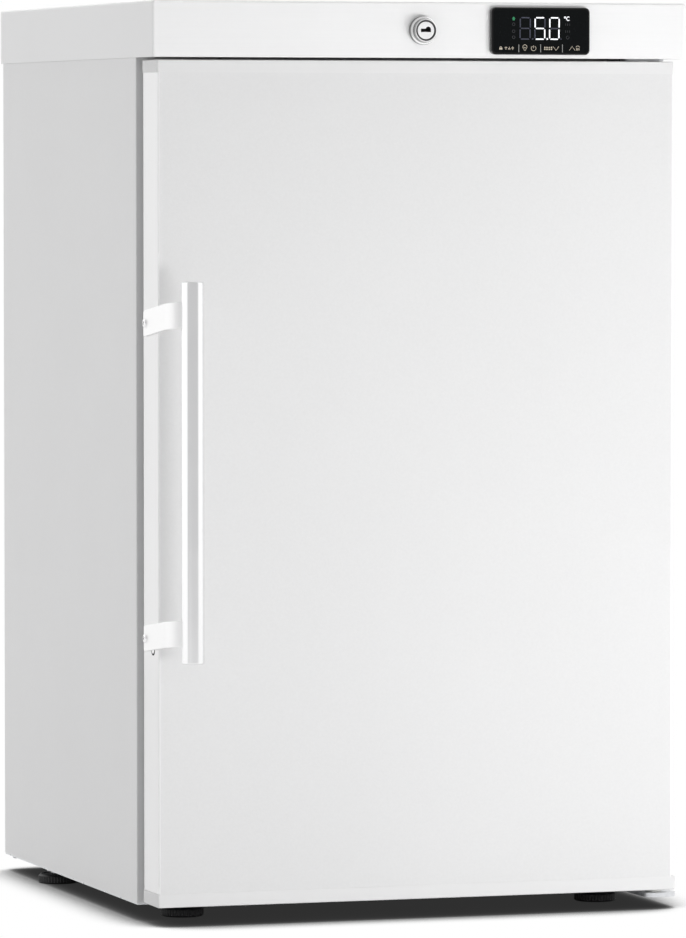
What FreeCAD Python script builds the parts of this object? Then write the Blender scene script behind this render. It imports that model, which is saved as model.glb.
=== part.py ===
import FreeCAD, Part
import math
import os

# A small upright medical refrigerator, in millimetres.
# +X is its right side seen from the front, +Y its back and +Z up, from the floor under its middle.

V = FreeCAD.Vector

# Whole cabinet
width = 450.0
height = 736.0
cover_depth = 461.0
handle_reach = 49.0
rear_reach = 25.0
leg_height = 14.5
cabinet_drop = 24.0
cabinet_setback = 53.0

# Sheets, walls and clearances
cover_sheet = 1.2
sheet = 1.0
base_sheet = 1.5
cover_gap = 0.3
fit_gap = 0.3
running_gap = 0.05
side_wall = 43.0
rear_wall = 42.0
floor_wall = 43.0
ceiling_wall = 57.0
liner_wall = 1.5
cavity_corner = 14.0

# Top cover and fascia
cover_height = 44.8
cover_corner = 2.0
lock_drop = 23.0
controller_x = 98.8
controller_width = 84.0
controller_height = 38.0
controller_corner = 4.0
controller_proud = 4.5
controller_body_depth = 42.0
controller_frame = 6.5
window_sheet = 1.0
window_margin = 1.6

# Cabinet flanges
fold_radius = 1.0
side_flange = 40.0
bottom_flange = 10.0
top_flange = 50.0
front_lip = 27.5
panel_inset = 2.0
bead_count = 3
bead_pitch = 90.0
bead_radius = 6.0
bead_height = 1.4

# Compressor bay
bay_depth = 150.0
bay_height = 200.0
bay_wall = 35.0

# Shelf ribs and shelves
shelf_count = 3
lowest_shelf = 262.0
top_shelf_drop = 137.0
rib_depth = 9.0
rib_height = 8.0
rib_setback = 30.0
shelf_front_gap = 2.5
shelf_rear_gap = 3.5
shelf_travel = 12.0
shelf_rod = 2.5
shelf_wire = 1.3
shelf_wires = 17
shelf_corner = 12.0
shelf_side_gap = 2.0

# Door
door_left_gap = 4.5
door_right_gap = 10.5
door_top_gap = 2.2
door_lift = 1.5
door_thickness = 41.5
door_sheet = 0.8
door_corner = 1.2
door_flange = 12.0
top_cap_height = 10.0
bottom_cap_height = 10.7
cap_overhang = 1.0
bottom_cap_overhang = 3.0
cap_wall = 2.0
cap_corner = 1.6
cap_edge = 1.0
cap_lip = 5.0
cap_proud = 0.5
dike_depth = 26.0
dike_taper = 7.0
dike_gap = 5.0
gasket_inset_left = 7.5
gasket_inset_end = 5.0
gasket_width = 18.0
gasket_base = 2.0
gasket_head = 4.6
gasket_pin_gap = 1.0
edge_hole_radius = 2.5
edge_hole_setback = 16.0
edge_hole_height = 220.2

# Handle
bar_radius = 9.0
bar_length = 301.0
bar_bottom = 213.1
bar_inset = 21.0
bar_chamfer = 1.2
strap_sheet = 2.5
strap_height = 20.7
strap_corner = 1.5
strap_rise = 8.7
strap_spacing = 251.2
strap_low_end = 228.4
strap_rear_setback = 33.7
strap_screw_setback = 28.0

# Hinges
pin_inset = 19.5
pin_setback = 18.5
pin_radius = 4.0
pin_length = 13.0
bush_radius = 5.5
bush_flange_radius = 6.5
bush_wall = 2.0
bush_end = 1.5
pin_end_gap = 0.5
foam_sleeve_gap = 0.5
lower_plate = 3.5
lower_plate_length = 101.0
lower_plate_left = 11.5
lower_plate_right = 16.5
lower_plate_nose = 13.0
lower_plate_corner = 8.0
upper_plate = 1.4
upper_plate_left = 29.0
upper_plate_right = 6.0
upper_tab_height = 18.0

# Lock
lock_radius = 11.5
lock_proud = 9.0
lock_step_radius = 9.6
plug_radius = 7.75
barrel_radius = 9.0
barrel_length = 18.0
cam_reach = 31.0
cam_width = 12.0
cam_sheet = 2.0
cam_boss_radius = 9.0
cam_slot_gap = 2.5
strike_depth = 10.5
strike_sheet = 0.8

# Levelling feet
foot_radius = 17.2
foot_height = 8.0
foot_ribs = 20
foot_rib_depth = 0.9
foot_front_inset = 47.6
foot_front_setback = 80.0
foot_rear_inset = 18.0
foot_rear_setback = 116.0
stud_radius = 4.0
stud_length = 26.0
weld_nut_radius = 7.0
weld_nut_height = 6.0

# Cooling parts
pot_width = 150.0
pot_depth = 104.0
pot_height = 132.0
pot_x = 25.0
pot_foot = 8.0
pot_plate = 2.5
starter_depth = 34.0
starter_width = 52.0
starter_height = 58.0
starter_lift = 34.0
grommet_height = 11.0
grommet_radius = 9.0
pot_bolt_radius = 3.0
bolt_sides = 12
line_radius = 3.0
line_bend = 9.0
line_offset = 14.0
line_sides = 8
coil_radius = 4.0
coil_passes = 5
coil_pitch = 22.0
coil_width = 220.0
fin_count = 16
fin_sheet = 0.8
condenser_radius = 2.4
condenser_sides = 6
condenser_passes = 9
condenser_pitch = 48.0
condenser_margin = 42.0
condenser_top_drop = 72.0
wire_radius = 0.8
wire_count = 26
wire_overrun = 12.0
drier_radius = 9.0
drier_length = 80.0
drier_drop = 96.0
pan_height = 22.0
pan_left = 130.0
pan_right = 50.0
pan_front = 46.0
pan_rear = 62.0
pan_wall = 2.0
pan_corner = 12.0
drain_radius = 6.0
drain_x = -70.0

# Evaporator cover and fan
evaporator_width = 290.0
evaporator_height = 246.0
evaporator_depth = 52.0
evaporator_top_gap = 14.0
evaporator_wall = 2.0
evaporator_corner = 10.0
tray_depth = 42.0
tray_height = 9.0
fan_radius = 42.0
fan_drop = 66.0
fan_blades = 5
fan_hub_radius = 13.0
fan_depth = 14.0
fan_tip_gap = 3.0
fan_front_gap = 4.0
blade_sheet = 0.8
blade_root_lean = 40.0
blade_tip_lean = 24.0
blade_root_chord = 14.0
blade_tip_chord = 24.0
guard_sheet = 1.6
guard_rings = 4
guard_spokes = 6
guard_sides = 24
guard_line = 2.2
guard_lap = 4.0
guard_hub = 8.0
motor_radius = 15.0
motor_length = 17.0
motor_shaft_radius = 1.5
grille_slots = 9
slot_width = 8.0
slot_height = 38.0
slot_lift = 15.0

# Lamp and probe
lamp_length = 150.0
lamp_depth = 22.0
lamp_height = 11.0
lamp_setback = 90.0
probe_radius = 3.0
probe_length = 42.0
probe_drop = 120.0
probe_setback = 70.0

# Gland for the mains cord
gland_inset = 75.0
gland_height = 34.0
gland_bore = 4.0
gland_radius = 9.0
gland_thread = 6.0
gland_nut = 4.0

# Screws
screw_head = 3.6
screw_head_height = 1.8
screw_shank = 1.6
screw_length = 7.0
screw_sides = 6

# Places that follow from the sizes
half_width = width / 2
depth = handle_reach + cover_depth + rear_reach
fascia_y = handle_reach - depth / 2
rear_y = depth / 2
cover_rear_y = fascia_y + cover_depth
cover_bottom_z = height - cover_height
cabinet_half = half_width - cover_sheet - cover_gap
cabinet_front_y = fascia_y + cabinet_setback
cabinet_rear_y = cover_rear_y - cover_sheet - cover_gap
panel_rear_y = cabinet_rear_y - sheet
cabinet_top_z = height - cabinet_drop
base_under_z = leg_height - base_sheet
cavity_half = cabinet_half - side_wall
cavity_rear_y = cabinet_rear_y - rear_wall
cavity_floor_z = leg_height + floor_wall
cavity_top_z = cabinet_top_z - ceiling_wall
shelf_pitch = (cavity_top_z - top_shelf_drop - lowest_shelf) / (shelf_count - 1)
bay_front_y = cabinet_rear_y - bay_depth
bay_top_z = leg_height + bay_height
step_y = bay_front_y - bay_wall
step_z = bay_top_z + bay_wall
lock_z = height - lock_drop
lock_hole_radius = barrel_radius + running_gap
cam_y = fascia_y + cover_sheet + barrel_length + fit_gap
pin_x = half_width - pin_inset
pin_y = fascia_y + pin_setback
door_left_x = door_left_gap - half_width
door_right_x = half_width - door_right_gap
door_bottom_z = leg_height + door_lift
door_top_z = cover_bottom_z - door_top_gap
door_rear_y = fascia_y + door_thickness
skin_bottom_z = door_bottom_z + bottom_cap_height
skin_top_z = door_top_z - top_cap_height
gasket_front_y = door_rear_y + liner_wall
gasket_rear_y = cabinet_front_y - fit_gap
gasket_left_x = door_left_x + gasket_inset_left
gasket_right_x = pin_x - gasket_pin_gap
gasket_bottom_z = door_bottom_z + gasket_inset_end
gasket_top_z = door_top_z - gasket_inset_end
bar_x = bar_inset - half_width
bar_y = fascia_y - handle_reach + bar_radius
upper_plate_top_z = cover_bottom_z
upper_plate_under_z = upper_plate_top_z - upper_plate
return_rear_y = cabinet_front_y - upper_plate - 1.0
evaporator_front_y = cavity_rear_y - evaporator_depth
evaporator_top_z = cavity_top_z - evaporator_top_gap
evaporator_bottom_z = evaporator_top_z - evaporator_height
fan_z = evaporator_top_z - fan_drop
fan_front_y = evaporator_front_y + evaporator_wall + fan_front_gap
pot_y = (bay_front_y + cabinet_rear_y) / 2
pot_bottom_z = leg_height + grommet_height + base_sheet
pot_top_z = pot_bottom_z + pot_height
condenser_y = rear_y - condenser_radius - 2 * wire_radius - running_gap
condenser_half = cabinet_half - condenser_margin
condenser_top_z = height - condenser_top_drop
condenser_bottom_z = condenser_top_z - (condenser_passes - 1) * condenser_pitch
drain_y = cavity_rear_y + rear_wall / 2
gland_x = gland_inset - half_width

X = V(1, 0, 0)
Y = V(0, 1, 0)
Z = V(0, 0, 1)


def box(x0, x1, y0, y1, z0, z1):
    return Part.makeBox(x1 - x0, y1 - y0, z1 - z0, V(x0, y0, z0))


def cylinder(radius, start, end):
    span = end - start
    return Part.makeCylinder(radius, span.Length, start, span)


def runs_along(edge, axis):
    if not isinstance(edge.Curve, Part.Line):
        return False
    span = edge.Vertexes[-1].Point - edge.Vertexes[0].Point
    return abs(span.normalize().dot(axis)) > 0.999


def round_edges(shape, radius, test):
    return shape.makeFillet(radius, [edge for edge in shape.Edges if test(edge)])


def round_along(shape, radius, axis):
    return round_edges(shape, radius, lambda edge: runs_along(edge, axis))


def edge_point(edge):
    return edge.BoundBox.Center


def fuse(first, *others):
    return first.multiFuse(list(others)).removeSplitter()


def ring_points(centre, normal, radius, sides, turn=0.0):
    rotation = FreeCAD.Rotation(Z, normal)
    points = []
    for k in range(sides):
        angle = turn + 2 * math.pi * k / sides
        spoke = V(radius * math.cos(angle), radius * math.sin(angle), 0)
        points.append(centre + rotation.multVec(spoke))
    return points


def ring_wire(centre, normal, radius, sides, turn=0.0):
    points = ring_points(centre, normal, radius, sides, turn)
    return Part.makePolygon(points + points[:1])


def rod(start, end, radius, sides):
    span = end - start
    flat = math.pi / sides
    return Part.Face(ring_wire(start, span, radius, sides, flat)).extrude(span)


def bent_path(points, bend):
    edges = []
    start = points[0]
    for before, corner, after in zip(points, points[1:], points[2:]):
        back = (before - corner).normalize()
        ahead = (after - corner).normalize()
        half_turn = (math.pi - back.getAngle(ahead)) / 2
        setback = bend * math.tan(half_turn)
        first = corner + back * setback
        last = corner + ahead * setback
        middle = corner + (back + ahead).normalize() * (bend / math.cos(half_turn) - bend)
        edges.append(Part.makeLine(start, first))
        edges.append(Part.Arc(first, middle, last).toShape())
        start = last
    edges.append(Part.makeLine(start, points[-1]))
    return Part.Wire(edges)


def bent_rod(points, radius, bend, sides):
    profile = ring_wire(points[0], points[1] - points[0], radius, sides, math.pi / sides)
    return bent_path(points, bend).makePipeShell([profile], True, False)


def turned(profile, centre, axis):
    """A solid of revolution; the profile gives (distance along the axis, radius)."""
    side = V(axis.y, axis.z, axis.x)
    points = [centre + axis * along + side * radius for along, radius in profile]
    return Part.Face(Part.makePolygon(points + points[:1])).revolve(centre, axis, 360)


def mitred_ring(profile, x0, x1, z0, z1):
    """A frame round a rectangle; the profile gives (inset, y) and meets itself at mitred corners."""
    def corners(inset, y):
        left, right = x0 + inset, x1 - inset
        low, high = z0 + inset, z1 - inset
        return [V(left, y, low), V(right, y, low), V(right, y, high), V(left, y, high)]

    faces = []
    for first, second in zip(profile, profile[1:] + profile[:1]):
        near = corners(*first)
        far = corners(*second)
        for i in range(4):
            j = (i + 1) % 4
            faces.append(Part.Face(Part.makePolygon([near[i], near[j], far[j], far[i], near[i]])))
    shell = Part.makeShell(faces)
    shell.sewShape()
    solid = Part.Solid(shell)
    if solid.Volume < 0:
        solid.reverse()
    return solid


def plate_loft(inset, y0, y1, x0, x1, z0, z1):
    """A panel whose four sides slope in by the inset between its two faces."""
    def outline(y, shrink):
        points = [V(x0 + shrink, y, z0 + shrink), V(x1 - shrink, y, z0 + shrink),
                  V(x1 - shrink, y, z1 - shrink), V(x0 + shrink, y, z1 - shrink)]
        return Part.makePolygon(points + points[:1])

    return Part.makeLoft([outline(y0, 0.0), outline(y1, inset)], True, True)


def stadium(centre, normal, side, length, radius, thickness):
    """A plate with two round ends, centred, its long axis along side."""
    half = length / 2 - radius
    across = normal.cross(side)
    ends = [centre - side * half, centre + side * half]
    edges = [
        Part.makeLine(ends[0] + across * radius, ends[1] + across * radius),
        Part.Arc(ends[1] + across * radius, ends[1] + side * radius, ends[1] - across * radius).toShape(),
        Part.makeLine(ends[1] - across * radius, ends[0] - across * radius),
        Part.Arc(ends[0] - across * radius, ends[0] - side * radius, ends[0] + across * radius).toShape(),
    ]
    return Part.Face(Part.Wire(edges)).extrude(normal * thickness)


def screw(seat, outward):
    """A pan-head screw: the head stands outward from its seat, the shank runs the other way."""
    head = rod(seat, seat + outward * screw_head_height, screw_head, 10)
    shank = rod(seat, seat - outward * screw_length, screw_shank, screw_sides)
    return head.fuse(shank)


def screw_holes(seats):
    """What the shanks of some screws take out of the sheets and foam that they pass."""
    return [rod(seat + outward, seat - outward * (screw_length + 1.0), screw_shank + running_gap, screw_sides)
            for seat, outward in seats]


# Top cover

def lock_slot(extra, bottom_z, top_z):
    """The space that the cam sweeps below its horizontal rest place, as a box."""
    reach = math.hypot(cam_reach, cam_width / 2)
    drop = lock_z - top_z
    left = math.sqrt(reach ** 2 - drop ** 2)
    return box(-left - cam_slot_gap - extra, cam_width / 2 + cam_slot_gap + extra,
               cam_y - cam_slot_gap - extra, cam_y + cam_sheet + cam_slot_gap + extra, bottom_z, top_z)


def controller_block(x_margin, z_margin, y0, y1):
    half = controller_width / 2 - x_margin
    half_tall = controller_height / 2 - z_margin
    return box(controller_x - half, controller_x + half, y0, y1, lock_z - half_tall, lock_z + half_tall)


def top_cover():
    outer = box(-half_width, half_width, fascia_y, cover_rear_y, cover_bottom_z, height)
    inner = box(-half_width + cover_sheet, half_width - cover_sheet, fascia_y + cover_sheet,
                cover_rear_y - cover_sheet, cover_bottom_z - 1, height - cover_sheet)

    def bent(edge):
        return runs_along(edge, Z) or edge_point(edge).z > height - cover_sheet - 0.01

    outer = round_edges(outer, cover_corner, bent)
    inner = round_edges(inner, cover_corner - cover_sheet, bent)
    shell = outer.cut(inner)
    lip = box(-half_width + cover_corner, half_width - cover_corner, fascia_y + cover_sheet / 2,
              return_rear_y, cover_bottom_z, cover_bottom_z + cover_sheet)
    shell = fuse(shell, lip)
    holes = [
        cylinder(lock_hole_radius, V(0, fascia_y - 1, lock_z), V(0, fascia_y + 5, lock_z)),
        controller_block(controller_frame, controller_frame - 1.5, fascia_y - 1, fascia_y + 5),
        lock_slot(0, cover_bottom_z - 1, cover_bottom_z + 2 * cover_sheet),
    ]
    return shell.cut(holes)


# Cabinet sheets

def side_panel(side):
    outer_x = side * cabinet_half
    inner_x = side * (cabinet_half - side_flange)
    outer = box(min(outer_x, inner_x), max(outer_x, inner_x), cabinet_front_y, panel_rear_y,
                leg_height, cabinet_top_z)
    outer = round_edges(outer, fold_radius,
                        lambda edge: runs_along(edge, Z) and abs(edge_point(edge).x - outer_x) < 0.01)
    hollow = side * (cabinet_half - sheet)
    shallow = side * (cabinet_half - side_flange - 1)
    inner = box(min(hollow, shallow), max(hollow, shallow), cabinet_front_y + sheet,
                panel_rear_y - sheet, leg_height + sheet, cabinet_top_z + 1)
    narrow = side * (cabinet_half - bottom_flange)
    opened = box(min(narrow, shallow), max(narrow, shallow), cabinet_front_y + sheet,
                 panel_rear_y + 1, leg_height - 1, cabinet_top_z + 1)
    screws = tray_screws() + back_screws() + upper_bracket_screws()
    return outer.cut([inner, opened] + stud_holes() + screw_holes(screws))


def top_panel():
    plate = box(-cabinet_half + sheet, cabinet_half - sheet, cabinet_front_y + sheet, panel_rear_y,
                cabinet_top_z - sheet, cabinet_top_z)
    edge = cabinet_half - side_flange - fit_gap
    flange = box(-edge, edge, cabinet_front_y, cabinet_front_y + sheet, cabinet_top_z - top_flange,
                 cabinet_top_z)
    rear = box(-cabinet_half + bottom_flange + 1, cabinet_half - bottom_flange - 1, panel_rear_y - sheet,
               panel_rear_y, cabinet_top_z - bottom_flange, cabinet_top_z)
    clear = cabinet_half - bottom_flange
    corners = [box(side * clear - 12, side * clear + 12, panel_rear_y - sheet, panel_rear_y + 1,
                   cabinet_top_z - sheet - 1, cabinet_top_z + 1) for side in (-1, 1)]
    return fuse(plate, flange, rear).cut(corners).cut(screw_holes(upper_bracket_screws()))


def foot_places():
    front_x = half_width - foot_front_inset
    rear_x = half_width - foot_rear_inset
    front_y = fascia_y + foot_front_setback
    back_y = cover_rear_y - foot_rear_setback
    return {
        "foot_front_left": V(-front_x, front_y, 0),
        "foot_front_right": V(front_x, front_y, 0),
        "foot_rear_left": V(-rear_x, back_y, 0),
        "foot_rear_right": V(rear_x, back_y, 0),
    }


def stud_holes():
    return [cylinder(stud_radius + 0.4, place, place + Z * (foot_height + stud_length + 2))
            for place in foot_places().values()]


def weld_nut(place):
    seat = V(place.x, place.y, leg_height)
    return rod(seat, seat + Z * weld_nut_height, weld_nut_radius, 6)


def stud_bores():
    return [cylinder(stud_radius + running_gap, place, place + Z * 60) for place in foot_places().values()]


def base_panel():
    edge = cabinet_half - sheet
    plate = box(-edge, edge, cabinet_front_y + sheet, bay_front_y, base_under_z, leg_height)
    inner_edge = cabinet_half - side_flange - fit_gap
    lip = box(-inner_edge, inner_edge, cabinet_front_y, cabinet_front_y + base_sheet, base_under_z,
              leg_height + front_lip)
    places = foot_places()
    nuts = [weld_nut(places["foot_front_left"]), weld_nut(places["foot_front_right"])]
    return fuse(plate, lip, *nuts).cut(stud_bores()).cut(screw_holes(lower_bracket_screws()))


def compressor_tray():
    edge = cabinet_half - sheet
    plate = box(-edge, edge, bay_front_y + fit_gap, cabinet_rear_y, base_under_z, leg_height)
    lip_edge = edge - bottom_flange
    lip = box(-lip_edge, lip_edge, panel_rear_y + sheet - base_sheet, cabinet_rear_y, base_under_z,
              leg_height + 12)
    tab = box(gland_x - 24, gland_x + 24, cabinet_rear_y - base_sheet, cabinet_rear_y, base_under_z,
              gland_height + 20)
    tab = round_edges(tab, 8.0, lambda edge: runs_along(edge, Y) and edge_point(edge).z > gland_height)
    places = foot_places()
    nuts = [weld_nut(places["foot_rear_left"]), weld_nut(places["foot_rear_right"])]
    tray = fuse(plate, lip, tab, *nuts)
    bolts = [rod(V(x, y, 0), V(x, y, 40), pot_bolt_radius + running_gap, bolt_sides)
             for x, y in pot_bolt_places()]
    gland = cylinder(gland_thread + running_gap, V(gland_x, cabinet_rear_y - 9, gland_height),
                     V(gland_x, cabinet_rear_y + 9, gland_height))
    return tray.cut(stud_bores() + bolts + [gland]).cut(screw_holes(tray_screws()))


def compressor_bay_panel():
    edge = cabinet_half - sheet
    wall = box(-edge, edge, bay_front_y, bay_front_y + sheet, leg_height + sheet, bay_top_z)
    roof = box(-edge, edge, bay_front_y, panel_rear_y - sheet, bay_top_z - sheet, bay_top_z)
    foot = box(-edge + bottom_flange, edge - bottom_flange, bay_front_y - 14, bay_front_y + sheet,
               leg_height, leg_height + sheet)
    holes = [cylinder(drain_radius + running_gap, V(drain_x, drain_y, bay_top_z - 9),
                      V(drain_x, drain_y, bay_top_z + 9))]
    holes += line_channels()
    return fuse(wall, roof, foot).cut(holes)


def back_panel():
    edge = cabinet_half - panel_inset
    plate = box(-edge, edge, panel_rear_y, cabinet_rear_y, bay_top_z - sheet, cabinet_top_z - panel_inset)
    low = bay_top_z + 40
    high = cabinet_top_z - 40
    beads = []
    for i in range(bead_count):
        x = (i - (bead_count - 1) / 2) * bead_pitch
        beads.append(stadium(V(x, cabinet_rear_y, (low + high) / 2), Y, Z, high - low, bead_radius,
                             bead_height))
    return fuse(plate, *beads).cut(screw_holes(back_screws()))


# Cavity and foam

def cavity(grow):
    """The air space, or the liner's outer form when grown by its wall."""
    front = cabinet_front_y - 1
    room = box(-cavity_half - grow, cavity_half + grow, front, cavity_rear_y + grow,
               cavity_floor_z - grow, cavity_top_z + grow)
    step = box(-cavity_half - 9, cavity_half + 9, step_y + grow, cavity_rear_y + 9, cavity_floor_z - 9,
               step_z - grow)
    room = room.cut(step)
    long_edges = round_edges(room, cavity_corner + grow,
                             lambda edge: runs_along(edge, Y) and abs(edge_point(edge).x) > cavity_half - 1
                             and (edge_point(edge).z > cavity_top_z - 1
                                  or edge_point(edge).z < cavity_floor_z + 1))
    return long_edges


def shelf_heights():
    return [lowest_shelf + i * shelf_pitch for i in range(shelf_count)]


def shelf_ribs():
    ribs = []
    front = cabinet_front_y + rib_setback
    rear = evaporator_front_y - rib_setback / 2
    for z in shelf_heights():
        for side in (-1, 1):
            wall_x = side * (cavity_half + liner_wall / 2)
            edge_x = side * (cavity_half - rib_depth)
            rib = box(min(wall_x, edge_x), max(wall_x, edge_x), front, rear, z - rib_height, z)
            ribs.append(rib.makeChamfer(2.0, [edge for edge in rib.Edges
                                              if abs(edge_point(edge).x - edge_x) < 0.01
                                              and edge_point(edge).z < z - 0.01]))
    return ribs


def inner_liner():
    edge = cabinet_half - side_flange - fit_gap
    flange = box(-edge, edge, cabinet_front_y, cabinet_front_y + liner_wall,
                 leg_height + front_lip + fit_gap, cabinet_top_z - top_flange - fit_gap)
    ahead = box(-width, width, cabinet_front_y - 9, cabinet_front_y, 0, height)
    shell = fuse(cavity(liner_wall).cut(ahead), flange).cut(cavity(0))
    shell = fuse(shell, *shelf_ribs())
    return shell.cut([drain_path(drain_radius + running_gap)] + line_channels())


def cabinet_foam(sheets, liner_form):
    edge = cabinet_half - sheet
    block = box(-edge, edge, cabinet_front_y + sheet, panel_rear_y, leg_height, cabinet_top_z - sheet)
    bay = box(-edge - 1, edge + 1, bay_front_y, panel_rear_y + 1, leg_height - 1, bay_top_z)
    block = block.cut([bay, liner_form] + sheets)
    flange = box(-cavity_half - side_wall, cavity_half + side_wall, cabinet_front_y - 1,
                 cabinet_front_y + liner_wall, 0, height)
    pockets = [cylinder(stud_radius + 3, place, place + Z * (foot_height + stud_length + 4))
               for place in foot_places().values()]
    pockets += [drain_path(drain_radius + running_gap)] + line_channels()
    screws = upper_bracket_screws() + lower_bracket_screws() + back_screws()
    foam = block.cut([flange] + pockets).cut(screw_holes(screws))
    return max(foam.Solids, key=lambda solid: solid.Volume)


# Feet

def levelling_foot(place):
    """A ribbed pad, and in it a stud whose nut stands under the base."""
    rim_low = 1.6
    rim_high = foot_height - 2.5
    core = foot_radius - 2 * foot_rib_depth
    pad = turned([(0, 0), (0, foot_radius - 1.2), (rim_low / 2, foot_radius), (rim_low, foot_radius),
                  (rim_low, core), (rim_high, core), (rim_high, foot_radius),
                  (foot_height, foot_radius - 3.0), (foot_height, 0)], place, Z)
    crown = []
    for k in range(2 * foot_ribs):
        angle = math.pi * k / foot_ribs
        reach = foot_radius - foot_rib_depth * (k % 2)
        crown.append(place + V(reach * math.cos(angle), reach * math.sin(angle), rim_low))
    ribs = Part.Face(Part.makePolygon(crown + crown[:1])).extrude(Z * (rim_high - rim_low))
    pad = pad.fuse(ribs).cut(cylinder(stud_radius, place + Z * 3, place + Z * (foot_height + 1)))
    stud = cylinder(stud_radius, place + Z * 3, place + Z * (foot_height + stud_length))
    nut_low = place + Z * foot_height
    nut = rod(nut_low, V(place.x, place.y, base_under_z - fit_gap), weld_nut_radius, 6)
    return Part.makeCompound([pad, stud.fuse(nut)])


# Controller

def controller_housing():
    bezel = round_along(controller_block(0, 0, fascia_y - controller_proud, fascia_y), controller_corner, Y)
    front = fascia_y - controller_proud
    bezel = round_edges(bezel, 1.2, lambda edge: abs(edge_point(edge).y - front) < 0.01)
    body = controller_block(controller_frame + fit_gap, controller_frame - 1.5 + fit_gap,
                            fascia_y - 1, fascia_y + controller_body_depth)
    pocket = controller_block(window_margin, window_margin, front - 1, front + window_sheet)
    pocket = round_along(pocket, controller_corner - 1, Y)
    terminals = []
    rear = fascia_y + controller_body_depth
    for k in range(6):
        x = controller_x - 27.5 + 11 * k
        terminals.append(box(x - 3.5, x + 3.5, rear - 6, rear + 1, lock_z - 9, lock_z - 1))
    return fuse(bezel, body).cut([pocket] + terminals)


def controller_window():
    front = fascia_y - controller_proud
    pane = controller_block(window_margin + running_gap, window_margin + running_gap, front,
                            front + window_sheet)
    return round_along(pane, controller_corner - 1 - running_gap, Y)


def controller_clips():
    """Two spring clips that pull the controller against the fascia from behind."""
    clips = []
    reach = controller_width / 2 - controller_frame - fit_gap
    seat = fascia_y + cover_sheet
    for side in (-1, 1):
        x = controller_x + side * reach
        low, high = sorted((x, x + side * 1.2))
        arm = box(low, high, seat, seat + 30, lock_z - 7, lock_z + 7)
        low, high = sorted((x, x + side * 7))
        toe = box(low, high, seat, seat + 1.2, lock_z - 7, lock_z + 7)
        rib = box(min(x, x + side * 3), max(x, x + side * 3), seat + 28, seat + 30, lock_z - 7, lock_z + 7)
        clips.append(fuse(arm, toe, rib))
    return Part.makeCompound(clips)


# Lock

def lock_centre(y):
    return V(0, y, lock_z)


def lock_housing():
    front = -lock_proud
    profile = [(front, 0), (front, lock_step_radius - 1.4), (front + 1.4, lock_step_radius),
               (-4.5, lock_step_radius), (-4.0, lock_radius - 0.8), (-3.2, lock_radius), (0, lock_radius),
               (0, barrel_radius), (cover_sheet + barrel_length, barrel_radius),
               (cover_sheet + barrel_length, 0)]
    body = turned(profile, lock_centre(fascia_y), Y)
    bore = turned([(front - 1, 0), (front - 1, plug_radius + 1.0), (front + 0.8, plug_radius + running_gap),
                   (barrel_length + 9, plug_radius + running_gap), (barrel_length + 9, 0)],
                  lock_centre(fascia_y), Y)
    return body.cut(bore)


def lock_nut():
    start = fascia_y + cover_sheet
    nut = rod(lock_centre(start), lock_centre(start + 4), 13.0, 6)
    return nut.cut(cylinder(barrel_radius + running_gap, lock_centre(start - 1), lock_centre(start + 9)))


def lock_plug():
    front = -lock_proud + 0.6
    rear = cover_sheet + barrel_length
    profile = [(front, 0), (front, plug_radius - 0.5), (front + 0.5, plug_radius), (rear, plug_radius),
               (rear, 4.0), (cam_y - fascia_y + cam_sheet + 7, 4.0), (cam_y - fascia_y + cam_sheet + 7, 0)]
    plug = turned(profile, lock_centre(fascia_y), Y)
    start = fascia_y + front - 1
    slot = box(-4.0, 4.0, start, start + 13, lock_z - 1.25, lock_z + 1.25)
    bump = cylinder(2.0, V(2.2, start, lock_z + 0.4), V(2.2, start + 13, lock_z + 0.4))
    return plug.cut([slot, bump])


def lock_cam():
    """The cam and the nut that holds it. At rest the cam points left behind the fascia."""
    boss = cylinder(cam_boss_radius, lock_centre(cam_y), lock_centre(cam_y + cam_sheet))
    arm = box(-cam_reach, 0, cam_y, cam_y + cam_sheet, lock_z - cam_width / 2, lock_z + cam_width / 2)
    hole = cylinder(4.0 + running_gap, lock_centre(cam_y - 1), lock_centre(cam_y + 9))
    plate = fuse(boss, arm).cut(hole)
    nut = rod(lock_centre(cam_y + cam_sheet), lock_centre(cam_y + cam_sheet + 4), 7.5, 6).cut(hole)
    return Part.makeCompound([plate, nut])


# Hinges

def lower_bracket_screws():
    x = pin_x + 1
    return [(V(x, cabinet_front_y + 18 + 32 * k, base_under_z - lower_plate), V(0, 0, -1)) for k in range(2)]


def upper_bracket_screws():
    z = cover_bottom_z + upper_tab_height / 2 + 1
    return [(V(pin_x - upper_plate_left + 8 + 18 * k, cabinet_front_y - upper_plate, z), V(0, -1, 0))
            for k in range(2)]


def hinge_lower_bracket():
    nose = pin_y - lower_plate_nose
    top = base_under_z
    plate = box(pin_x - lower_plate_left, pin_x + lower_plate_right, nose, nose + lower_plate_length,
                top - lower_plate, top)
    plate = round_edges(plate, lower_plate_corner,
                        lambda edge: runs_along(edge, Z) and edge_point(edge).y < nose + 1)
    foot = V(pin_x, pin_y, top - lower_plate)
    pin = cylinder(pin_radius, foot, V(pin_x, pin_y, door_bottom_z + pin_length))
    pin = pin.makeChamfer(0.8, [edge for edge in pin.Edges if edge_point(edge).z > door_bottom_z + 1
                                and not runs_along(edge, Z)])
    return fuse(plate, pin).cut(screw_holes(lower_bracket_screws()))


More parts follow.
